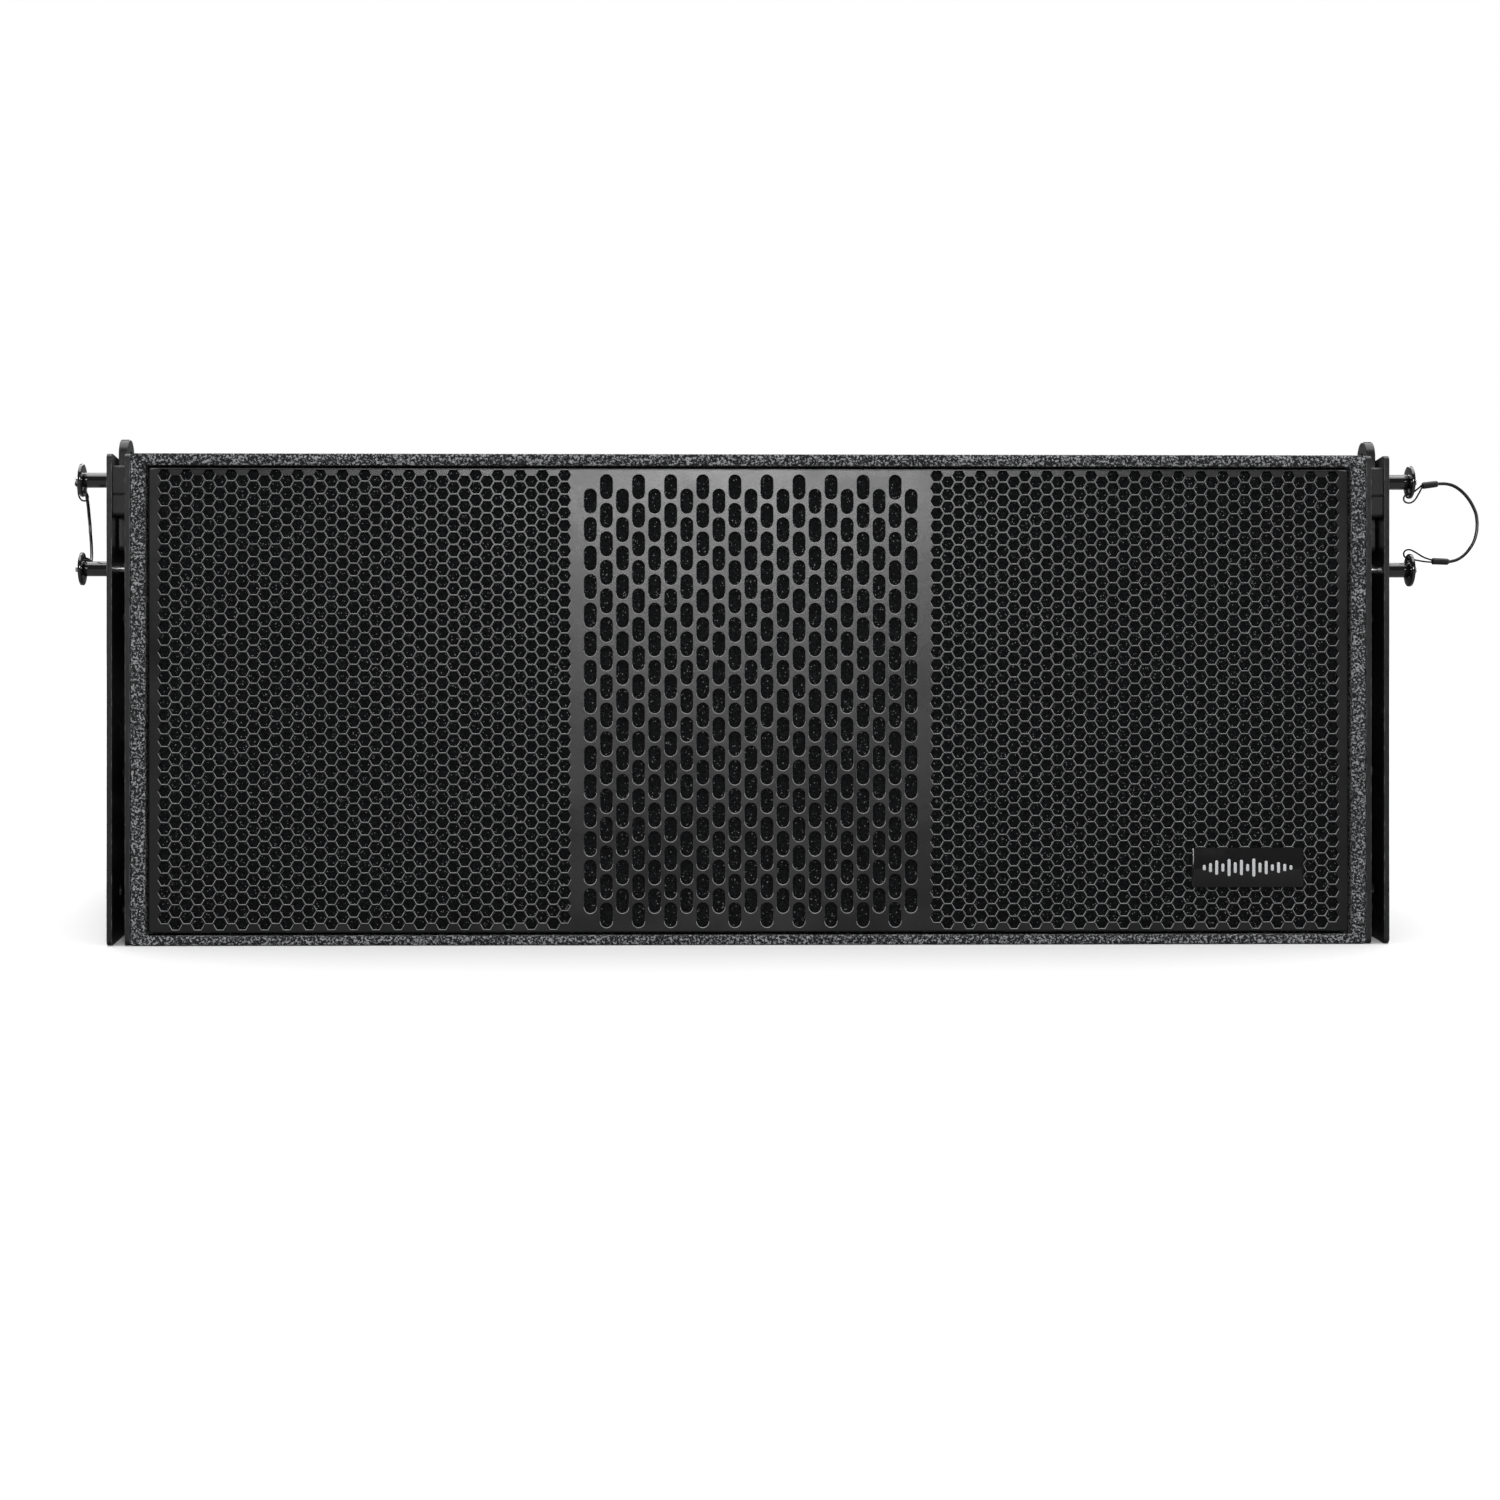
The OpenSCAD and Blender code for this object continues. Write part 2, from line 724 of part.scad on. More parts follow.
// Socket-head screws of the woofers and of the waveguide
module driver_screws() color([0.3, 0.3, 0.31]) lean() {
    head_r = 4.2;
    head_t = 3;
    flange_y = baffle_y - flange_t;
    screw_circle = woofer_r - 3.4 - head_r / 2;
    for (x = [-woofer_x, woofer_x], i = [0:7])
        translate([x, 0, mid_z])
            rotate([0, (i + 0.5) * 45, 0])
                translate([screw_circle + 1, flange_y - 1.2 - head_t, 0])
                    rotate([-90, 0, 0])
                        difference() {
                            cylinder(h = head_t, r = head_r - 1);
                            translate([0, 0, -over])
                                cylinder(h = 1.6 + over, r = 1.5, $fn = 6);
                        }
}

// ---- Rigging plates ----

// Every hole that a quick-release pin passes or can pass, as [y, z]
function pin_places() = [
    [front_y, upper_pin_z], [front_y, lower_pin_z], [front_y, front_socket_z],
    [rear_y, rear_pin_z], [rear_y, rear_socket_z]
];

module plate_outline() {
    rounded([[0, 0], [cabinet_d, bottom_at(cabinet_d)], [cabinet_d, top_at(cabinet_d)], [0, cabinet_h]],
        plate_corner);
}

module rig_plate(side, x0) {
    on_side(side)
        difference() {
            across(x0, x0 + plate_t)
                plate_outline();
            for (place = pin_places())
                rod(x0 - over, x0 + plate_t + over, pin_hole_r, place[0], place[1]);
            for (place = bolt_places)
                rod(x0 - over, x0 + plate_t + over, bolt_r + bolt_room, place[0], place[1]);
            if (x0 == inner_plate_x)
                for (place = screw_places)
                    rod(x0 - over, x0 + plate_t + over, screw_r + bolt_room, place[0], place[1]);
        }
}

module left_inner_plate() color([0.2, 0.2, 0.21]) lean() rig_plate(-1, inner_plate_x);
module right_inner_plate() color([0.2, 0.2, 0.21]) lean() rig_plate(1, inner_plate_x);
module left_outer_plate() color([0.2, 0.2, 0.21]) lean() rig_plate(-1, outer_plate_x);
module right_outer_plate() color([0.2, 0.2, 0.21]) lean() rig_plate(1, outer_plate_x);

// Bushes around the through bolts, and the blocks that guide the front links
module rig_spacers() color([0.24, 0.24, 0.25]) lean() {
    for (side = [-1, 1])
        on_side(side) {
            for (place = bolt_places)
                difference() {
                    rod(channel_x, outer_plate_x, bush_r, place[0], place[1]);
                    rod(channel_x - over, outer_plate_x + over, bolt_r + bolt_room, place[0], place[1]);
                }
            for (block = guide_blocks)
                across(channel_x, outer_plate_x)
                    translate([block[0] + block[2] / 2, block[1] + block[3] / 2])
                        rounded_box_outline(block[2], block[3], 3);
        }
}

module rig_bolts() color([0.3, 0.3, 0.31]) lean() {
    for (side = [-1, 1], place = bolt_places)
        on_side(side)
            difference() {
                union() {
                    rod(half_w - bolt_grip, rig_x, bolt_r, place[0], place[1]);
                    translate([rig_x, place[0], place[1]])
                        rotate([0, 90, 0])
                            cylinder(h = bolt_head_t, r1 = bolt_head_r, r2 = bolt_head_r - 2);
                }
                translate([rig_x + bolt_head_t - 2.6, place[0], place[1]])
                    rotate([0, 90, 0])
                        cylinder(h = 2.6 + over, r = 2.9, $fn = 6);
            }
}

module plate_screws() color([0.4, 0.4, 0.41]) lean() {
    for (side = [-1, 1], place = screw_places)
        on_side(side)
            difference() {
                union() {
                    rod(half_w - bolt_grip, channel_x, screw_r, place[0], place[1]);
                    translate([channel_x, place[0], place[1]])
                        rotate([0, 90, 0])
                            cylinder(h = screw_head_t, r1 = screw_head_r, r2 = screw_head_r - 1.5);
                }
                translate([channel_x + screw_head_t - 1.8, place[0], place[1]])
                    rotate([0, 90, 0])
                        cylinder(h = 1.8 + over, r = 1.8, $fn = 6);
            }
}

// ---- Links ----

// A flat bar that slides up on its pin: a round end with the coupling hole, and a slot for the pin
module link_bar(y, hole_z, pin_z, lift) {
    foot_z = pin_z - lift - link_slot_r - link_foot;
    difference() {
        union() {
            rod(link_x, link_x + link_t, link_r, y, hole_z);
            across(link_x, link_x + link_t)
                rounded([
                    [y - link_r, foot_z], [y + link_r, foot_z],
                    [y + link_r, hole_z + 4], [y - link_r, hole_z + 4]
                ], 4);
        }
        rod(link_x - over, link_x + link_t + over, pin_hole_r, y, hole_z);
        rod(link_x - over, link_x + link_t + over, link_slot_r, y, pin_z);
        rod(link_x - over, link_x + link_t + over, link_slot_r, y, pin_z - lift);
        translate([link_x - over, y - link_slot_r, pin_z - lift])
            cube([link_t + 2 * over, 2 * link_slot_r, lift]);
    }
}

module front_link(side) {
    on_side(side)
        link_bar(front_y, front_hole_z, upper_pin_z, front_lift);
}

module rear_link(side) {
    on_side(side)
        link_bar(rear_y, rear_hole_z, rear_pin_z, rear_lift);
}

module left_front_link() color([0.15, 0.15, 0.16]) lean() front_link(-1);
module right_front_link() color([0.15, 0.15, 0.16]) lean() front_link(1);
module left_rear_link() color([0.15, 0.15, 0.16]) lean() rear_link(-1);
module right_rear_link() color([0.15, 0.15, 0.16]) lean() rear_link(1);

// ---- Quick-release pins ----

// Steel shank, black barrel and disc, bored along its axis for the button's stem
module quick_pin(y, z, eyelet_side) {
    difference() {
        union() {
            translate([half_w - tip_room, y, z])
                rotate([0, 90, 0])
                    cylinder(h = 2, r1 = pin_r - 1.2, r2 = pin_r);
            rod(half_w - tip_room + 2, disc_x, pin_r, y, z);
            rod(rig_x + barrel_room, disc_x, barrel_r, y, z);
            rod(disc_x, disc_x + disc_t, disc_r, y, z);
            rod(disc_x + disc_t, disc_x + disc_t + hub_t, hub_r, y, z);
        }
        rod(disc_x + disc_t + hub_t - button_len, disc_x + disc_t + hub_t + over, button_bore_r, y, z);
        rod(disc_x - over, disc_x + disc_t + over, eyelet_r, y, z + eyelet_side * eyelet_at);
    }
}

module pin_button(y, z) {
    head_x = disc_x + disc_t + hub_t + button_out;
    stem_x = disc_x + disc_t + hub_t - button_len + button_travel + move_room;
    rod(stem_x, head_x - 0.6, button_r, y, z);
    translate([head_x - 0.6, y, z])
        rotate([0, 90, 0])
            cylinder(h = 0.6, r1 = button_r, r2 = button_r - 0.6);
}

module left_upper_pin() color([0.1, 0.1, 0.1]) lean() on_side(-1) quick_pin(front_y, upper_pin_z, -1);
module right_upper_pin() color([0.1, 0.1, 0.1]) lean() on_side(1) quick_pin(front_y, upper_pin_z, -1);
module left_lower_pin() color([0.1, 0.1, 0.1]) lean() on_side(-1) quick_pin(front_y, lower_pin_z, 1);
module right_lower_pin() color([0.1, 0.1, 0.1]) lean() on_side(1) quick_pin(front_y, lower_pin_z, 1);
module left_rear_pin() color([0.1, 0.1, 0.1]) lean() on_side(-1) quick_pin(rear_y, rear_pin_z, -1);
module right_rear_pin() color([0.1, 0.1, 0.1]) lean() on_side(1) quick_pin(rear_y, rear_pin_z, -1);

module left_upper_button() color("silver") lean() on_side(-1) pin_button(front_y, upper_pin_z);
module right_upper_button() color("silver") lean() on_side(1) pin_button(front_y, upper_pin_z);
module left_lower_button() color("silver") lean() on_side(-1) pin_button(front_y, lower_pin_z);
module right_lower_button() color("silver") lean() on_side(1) pin_button(front_y, lower_pin_z);
module left_rear_button() color("silver") lean() on_side(-1) pin_button(rear_y, rear_pin_z);
module right_rear_button() color("silver") lean() on_side(1) pin_button(rear_y, rear_pin_z);

// ---- Lanyards ----

// The middle of the upper pin's disc, which the lanyards are drawn from
function lanyard_origin() = [disc_x + disc_t / 2, front_y, upper_pin_z];
function lanyard_points(route) = [for (p = route) lanyard_origin() + p];

module lanyard(route, first, last, normal) {
    tube(lanyard_points(route), wire_r, wire_sides, first, last, normal);
}

// The right lanyard bows outwards and the left one to the back
module right_upper_lanyard() color([0.07, 0.07, 0.07]) lean()
    lanyard(right_upper_route, right_upper_route[0] - right_upper_mouth, [0, 0, -1], [0, 1, 0]);
module right_lower_lanyard() color([0.07, 0.07, 0.07]) lean()
    lanyard(right_lower_route, [0, 0, -1], right_lower_mouth - right_lower_route[6], [0, 1, 0]);
module left_upper_lanyard() color([0.07, 0.07, 0.07]) lean() on_side(-1)
    lanyard(left_upper_route, left_upper_route[0] - left_upper_mouth, [0, 0, -1], [1, 0, 0]);
module left_lower_lanyard() color([0.07, 0.07, 0.07]) lean() on_side(-1)
    lanyard(left_lower_route, [0, 0, -1], left_lower_mouth - left_lower_route[6], [1, 0, 0]);

// A crimp sleeve from its mouth to the wire, and the thin loop through the disc's eyelet
module lanyard_end(mouth, wire_start, loop, pin_drop, eyelet_side, normal) {
    from = lanyard_origin() + mouth;
    along = wire_start - mouth;
    length = norm(along);
    translate(from)
        rotate([0, acos(along[2] / length), atan2(along[1], along[0])])
            rotate_extrude()
                polygon([
                    [0, 0], [sleeve_r - 0.6, 0], [sleeve_r, 0.8], [sleeve_r, length - 4],
                    [wire_r + 0.4, length], [0, length]
                ]);
    path = [for (p = loop) lanyard_origin() + [p[0], p[1], eyelet_side * p[2] - pin_drop]];
    tube(path, loop_r, loop_sides, -along, along, normal);
}

module right_upper_sleeve() color("gray") lean()
    lanyard_end(right_upper_mouth, right_upper_route[0], right_upper_loop, 0, -1, [0, 1, 0]);
module right_lower_sleeve() color("gray") lean()
    lanyard_end(right_lower_mouth, right_lower_route[6], right_lower_loop, pin_spacing, 1, [0, 1, 0]);
module left_upper_sleeve() color("gray") lean() on_side(-1)
    lanyard_end(left_upper_mouth, left_upper_route[0], left_upper_loop, 0, -1, [-0.4, 1, 0.4]);
module left_lower_sleeve() color("gray") lean() on_side(-1)
    lanyard_end(left_lower_mouth, left_lower_route[6], left_lower_loop, pin_spacing, 1, [0, 0, 1]);

// ---- Rear panel ----

module input_plate() color([0.13, 0.13, 0.13]) lean() difference() {
    upright_plate(input_w, input_h, input_corner, 0, input_z, cabinet_d, cabinet_d + input_t);
    for (x = [-socket_pitch / 2, socket_pitch / 2])
        translate([0, cabinet_d - over, 0])
            facing_back(x, input_z)
                cylinder(h = input_t + 2 * over, r = socket_r + socket_wall + bolt_room);
}

// Round locking sockets, open to the back
module input_sockets() color([0.1, 0.12, 0.16]) lean() {
    front = cabinet_d + input_t;
    for (x = [-socket_pitch / 2, socket_pitch / 2])
        difference() {
            union() {
                upright_plate(2 * socket_flange, 2 * socket_flange + 4, 3, x, input_z, front, front + 2);
                translate([0, front - socket_depth, 0])
                    facing_back(x, input_z)
                        cylinder(h = socket_depth + 2, r = socket_r + socket_wall);
            }
            translate([0, front - socket_depth + socket_wall, 0])
                facing_back(x, input_z)
                    cylinder(h = socket_depth + over, r = socket_r);
        }
}

// Recessed grips: a cup with a rim on the back panel and a round bar across its mouth
module rear_handles() color([0.1, 0.1, 0.1]) lean() {
    for (x = [-handle_x, handle_x]) {
        difference() {
            union() {
                translate([x - handle_w / 2, cabinet_d - handle_depth, mid_z - handle_h / 2])
                    cube([handle_w, handle_depth, handle_h]);
                upright_plate(handle_w + 2 * handle_rim, handle_h + 2 * handle_rim, 10, x, mid_z,
                    cabinet_d, cabinet_d + handle_rim_t);
            }
            translate([
                x - handle_w / 2 + handle_wall,
                cabinet_d - handle_depth + handle_wall,
                mid_z - handle_h / 2 + handle_wall
            ])
                cube([handle_w - 2 * handle_wall, handle_depth + 10, handle_h - 2 * handle_wall]);
        }
        rod(x - handle_w / 2 + handle_wall, x + handle_w / 2 - handle_wall, grip_r,
            cabinet_d - grip_r, mid_z + handle_h / 2 - handle_wall - grip_r - 8);
    }
}

module crossover_board() color("darkgreen") lean() {
    upright_plate(board_w, board_h, 2, 0, board_z, back_y - standoff - board_t, back_y - standoff);
    for (x = [-1, 1], z = [-1, 1])
        translate([0, back_y - standoff, 0])
            facing_back(x * (board_w / 2 - 8), board_z + z * (board_h / 2 - 8))
                cylinder(h = standoff, r = 4);
}

// Air-core coils and capacitors on the board
module crossover_parts() color("orange") lean() {
    front = back_y - standoff - board_t;
    for (x = [-46, 46])
        difference() {
            translate([0, front - 22, 0])
                facing_back(x, board_z + 10)
                    cylinder(h = 22, r = 21);
            translate([0, front - 22 - over, 0])
                facing_back(x, board_z + 10)
                    cylinder(h = 22 + 2 * over, r = 9);
        }
    for (z = [-26, -6, 14])
        rod(-16, 16, 8, front - 8, board_z + z);
}

// Acoustic damping pads on the side panels
module damping() color("lightgray") lean() {
    pad_y = baffle_y + baffle_t + 90;
    for (side = [-1, 1])
        on_side(side)
            across(inner_w - pad_t, inner_w)
                polygon([
                    [pad_y, inner_bottom(pad_y) + 14], [back_y - 60, inner_bottom(back_y - 60) + 14],
                    [back_y - 60, inner_top(back_y - 60) - 14], [pad_y, inner_top(pad_y) - 14]
                ]);
}

top_panel();
bottom_panel();
left_side_panel();
right_side_panel();
back_panel();
baffle();
braces();
grille();
grille_foam();
badge_plate();
left_basket();
right_basket();
left_magnet();
right_magnet();
left_cone();
right_cone();
left_voice_coil();
right_voice_coil();
woofer_surrounds();
woofer_spiders();
waveguide();
compression_drivers();
driver_screws();
left_inner_plate();
right_inner_plate();
left_outer_plate();
right_outer_plate();
rig_spacers();
rig_bolts();
plate_screws();
left_front_link();
right_front_link();
left_rear_link();
right_rear_link();
left_upper_pin();
right_upper_pin();
left_lower_pin();
right_lower_pin();
left_rear_pin();
right_rear_pin();
left_upper_button();
right_upper_button();
left_lower_button();
right_lower_button();
left_rear_button();
right_rear_button();
left_upper_lanyard();
right_upper_lanyard();
left_lower_lanyard();
right_lower_lanyard();
left_upper_sleeve();
right_upper_sleeve();
left_lower_sleeve();
right_lower_sleeve();
input_plate();
input_sockets();
rear_handles();
crossover_board();
crossover_parts();
damping();
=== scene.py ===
"""Looks of the line array loudspeaker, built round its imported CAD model."""
import json
import math

import bmesh
import bpy
from mathutils import Matrix, Vector, noise


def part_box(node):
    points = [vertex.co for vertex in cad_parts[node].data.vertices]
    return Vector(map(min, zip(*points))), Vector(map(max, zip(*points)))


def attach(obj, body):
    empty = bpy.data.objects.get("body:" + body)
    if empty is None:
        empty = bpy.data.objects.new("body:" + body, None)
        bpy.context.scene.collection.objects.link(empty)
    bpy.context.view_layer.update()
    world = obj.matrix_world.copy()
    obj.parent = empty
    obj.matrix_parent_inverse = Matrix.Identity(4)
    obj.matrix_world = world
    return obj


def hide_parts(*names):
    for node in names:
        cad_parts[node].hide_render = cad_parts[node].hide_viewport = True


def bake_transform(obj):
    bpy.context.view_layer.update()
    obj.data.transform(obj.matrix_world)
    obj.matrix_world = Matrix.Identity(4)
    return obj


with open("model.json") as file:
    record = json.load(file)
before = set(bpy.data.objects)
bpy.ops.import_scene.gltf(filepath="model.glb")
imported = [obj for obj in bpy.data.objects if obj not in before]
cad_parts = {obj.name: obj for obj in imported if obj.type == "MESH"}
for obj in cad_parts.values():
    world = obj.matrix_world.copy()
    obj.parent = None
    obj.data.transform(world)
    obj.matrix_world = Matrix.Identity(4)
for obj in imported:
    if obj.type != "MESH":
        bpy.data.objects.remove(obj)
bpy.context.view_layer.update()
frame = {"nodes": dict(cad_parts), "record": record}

# The design is drawn square to its front face (X right, Y back, Z up, in metres), and SEAT leans it back
# so that its sloping bottom lies flat.
WIDTH, HEIGHT, DEPTH = 0.932, 0.370, 0.450
HALF = WIDTH / 2
TAPER = math.radians(5)
SLOPE = math.tan(TAPER)
FLOOR_D = DEPTH / math.cos(TAPER)
MID_Z = HEIGHT / 2
SEAT = Matrix.Translation((0, -FLOOR_D / 2, 0)) @ Matrix.Rotation(-TAPER, 4, "X")
TURN = SEAT.to_3x3()


def seat(point):
    """A point of the upright design, in the row frame."""
    return SEAT @ Vector(point)


# ---- Camera ----

CAM_PLACE = (-0.084, -1.9, 0.1847)
CAM_YAW = math.radians(1.075)

cam = bpy.data.objects.new("camera", bpy.data.cameras.new("camera"))
bpy.context.scene.collection.objects.link(cam)
cam.data.sensor_width = 36
cam.data.lens = 60.57
cam.data.shift_x = 0.0421
cam.data.shift_y = -0.0334
cam.data.clip_start, cam.data.clip_end = 0.05, 50
cam.matrix_world = (
    SEAT
    @ Matrix.Translation(CAM_PLACE)
    @ Matrix.Rotation(-CAM_YAW, 4, "Z")
    @ Matrix.Rotation(math.radians(90), 4, "X")
)
bpy.context.scene.camera = cam


# ---- Materials ----


class Finish:
    """A procedural material that reads the piece's own place in metres."""

    def __init__(self, name, rough=0.5, metallic=0.0, coat=0.0, sheen=0.0, specular=0.5):
        self.material = bpy.data.materials.new(name)
        self.material.use_nodes = True
        self.tree = self.material.node_tree
        self.shader = self.tree.nodes["Principled BSDF"]
        for key, value in (
            ("Roughness", rough), ("Metallic", metallic), ("Coat Weight", coat),
            ("Sheen Weight", sheen), ("Specular IOR Level", specular),
        ):
            self.shader.inputs[key].default_value = value
        self.shader.inputs["Coat Roughness"].default_value = 0.1
        self.place = self.node("ShaderNodeTexCoord").outputs["Object"]
        self.normal = None

    def node(self, kind, **inputs):
        made = self.tree.nodes.new(kind)
        for key, value in inputs.items():
            self.set(made.inputs[key.replace("_", " ")], value)
        return made

    def set(self, socket, value):
        if isinstance(value, bpy.types.NodeSocket):
            self.tree.links.new(value, socket)
        else:
            socket.default_value = value

    def noise(self, scale, detail=3.0, rough=0.55, stretch=None):
        where = self.place
        if stretch:
            mapping = self.node("ShaderNodeMapping", Vector=self.place)
            mapping.inputs["Scale"].default_value = stretch
            where = mapping.outputs[0]
        made = self.node("ShaderNodeTexNoise", Vector=where, Scale=scale, Detail=detail, Roughness=rough)
        return made.outputs[0]

    def cells(self, scale):
        """Distance to the nearest of many scattered points, for pores."""
        return self.node("ShaderNodeTexVoronoi", Vector=self.place, Scale=scale).outputs["Distance"]

    def span(self, value, low, high, to_low=0.0, to_high=1.0):
        made = self.node("ShaderNodeMapRange", Value=value)
        for key, number in (("From Min", low), ("From Max", high), ("To Min", to_low), ("To Max", to_high)):
            made.inputs[key].default_value = number
        return made.outputs[0]

    def maths(self, kind, a, b):
        made = self.tree.nodes.new("ShaderNodeMath")
        made.operation = kind
        self.set(made.inputs[0], a)
        self.set(made.inputs[1], b)
        return made.outputs[0]

    def mix(self, factor, a, b):
        made = self.tree.nodes.new("ShaderNodeMix")
        made.data_type = "RGBA"
        self.set(made.inputs["Factor"], factor)
        self.set(made.inputs["A"], a if isinstance(a, bpy.types.NodeSocket) else (*a, 1))
        self.set(made.inputs["B"], b if isinstance(b, bpy.types.NodeSocket) else (*b, 1))
        return made.outputs["Result"]

    def bump(self, height, depth, strength=1.0):
        made = self.node("ShaderNodeBump", Height=height, Distance=depth, Strength=strength)
        if self.normal:
            self.set(made.inputs["Normal"], self.normal)
        self.normal = made.outputs[0]
        self.set(self.shader.inputs["Normal"], self.normal)

    def edges(self, radius):
        """1 on the object's sharp edges, falling to 0 within radius of them."""
        made = self.node("ShaderNodeBevel", Radius=radius)
        made.samples = 4
        true = self.node("ShaderNodeNewGeometry").outputs["Normal"]
        dot = self.tree.nodes.new("ShaderNodeVectorMath")
        dot.operation = "DOT_PRODUCT"
        self.set(dot.inputs[0], made.outputs[0])
        self.set(dot.inputs[1], true)
        return self.span(dot.outputs["Value"], 0.99, 0.75)

    def colour(self, value):
        self.set(self.shader.inputs["Base Color"], value)

    def rough(self, value):
        self.set(self.shader.inputs["Roughness"], value)


def coated(name, dark, light, rough, grain=((900, 0.00006),), mottle=14, worn=None, coat=0.0):
    """Paint, powder coat, plastic or rubber: mottled colour, uneven gloss and a fine grain.

    grain is (scale, depth in metres) pairs; worn is (colour, radius, amount) of the rubbed edges.
    """
    f = Finish(name, coat=coat)
    cloud = f.span(f.noise(mottle, 5, 0.6), 0.3, 0.7)
    tone = f.mix(cloud, dark, light)
    shine = f.span(f.noise(mottle * 2.3, 4), 0.3, 0.7, rough - 0.06, rough + 0.06)
    if worn:
        colour, radius, amount = worn
        rub = f.maths("MULTIPLY", f.edges(radius), f.span(f.noise(160, 4, 0.7), 0.48, 0.62, 0.0, amount))
        tone = f.mix(rub, tone, colour)
    f.colour(tone)
    f.rough(shine)
    for scale, depth in grain:
        f.bump(f.noise(scale, 2), depth)
    return f.material


def textured_paint():
    """Coarse sprayed structure paint: black pits, with the grain tops painted light as their glints."""
    f = Finish("textured_paint", specular=0.22)
    grain = f.noise(600, 3, 0.75)
    fine = f.noise(1500, 2, 0.7)
    cloud = f.span(f.noise(9, 5, 0.65), 0.3, 0.7)
    tone = f.mix(cloud, (0.009, 0.0095, 0.0105), (0.013, 0.0138, 0.015))
    # Painted glints: the raised grain tops are coloured far lighter than the black paint
    painted_glint = f.mix(cloud, (0.38, 0.387, 0.4), (0.50, 0.51, 0.525))
    f.colour(f.mix(f.span(grain, 0.518, 0.585), tone, painted_glint))
    f.rough(f.span(fine, 0.35, 0.65, 0.5, 0.78))
    f.bump(grain, 0.0013, 1.0)
    f.bump(fine, 0.0004, 0.8)
    return f.material


def steel(name, tone, rough, direction=(1, 60, 60)):
    """Turned or brushed bright metal, with fine lines square to direction's long scale."""
    shade = tuple(c * 0.75 for c in tone)
    f = Finish(name, metallic=1.0)
    lines = f.noise(60, 4, 0.7, stretch=direction)
    f.colour(f.mix(f.span(f.noise(90, 4), 0.35, 0.7), tone, shade))
    f.rough(f.span(lines, 0.3, 0.7, rough - 0.07, rough + 0.1))
    f.bump(lines, 0.00004)
    return f.material


def open_foam():
    """Open-cell foam: pores painted darker as shade between the strands, and pale specks painted on as the
    strands' glints here and there.
    """
    f = Finish("foam", rough=0.8, specular=0.1)
    pores = f.cells(620)
    # Painted glints: pale specks scattered over the strands
    glint = f.span(f.cells(560), 0.34, 0.12)
    painted_glint_specks = f.maths("MULTIPLY", glint, f.span(f.noise(380, 2, 0.7), 0.53, 0.6))
    # Painted shade: the pore centres are darker than the strands round them
    dark = f.mix(f.span(pores, 0.15, 0.6), (0.0016, 0.0016, 0.0018), (0.010, 0.0108, 0.0118))
    f.colour(f.mix(painted_glint_specks, dark, (0.34, 0.345, 0.355)))
    f.bump(pores, 0.001)
    return f.material


def plywood():
    f = Finish("plywood", rough=0.6)
    layers = f.noise(30, 4, 0.6, stretch=(1, 1, 9))
    f.colour(f.mix(f.span(layers, 0.35, 0.65), (0.50, 0.35, 0.2), (0.66, 0.5, 0.32)))
    f.rough(f.span(f.noise(80, 3), 0.3, 0.7, 0.5, 0.7))
    f.bump(layers, 0.0002)
    return f.material


def paper_cone():
    f = Finish("cone_paper", rough=0.7)
    fibres = f.noise(240, 5, 0.7)
    f.colour(f.mix(f.span(fibres, 0.35, 0.65), (0.012, 0.012, 0.012), (0.04, 0.039, 0.038)))
    f.bump(fibres, 0.0003)
    return f.material


def woven(name, dark, light, scale, depth):
    f = Finish(name, rough=0.85, sheen=0.2)
    waves = []
    for axis in ("X", "Z"):
        wave = f.node("ShaderNodeTexWave", Vector=f.place, Scale=scale, Distortion=1.2, Detail=1.0)
        wave.bands_direction = axis
        waves.append(wave.outputs["Fac"])
    cloth = f.maths("MAXIMUM", *waves)
    f.colour(f.mix(f.span(cloth, 0.4, 1.0), dark, light))
    f.bump(cloth, depth)
    return f.material


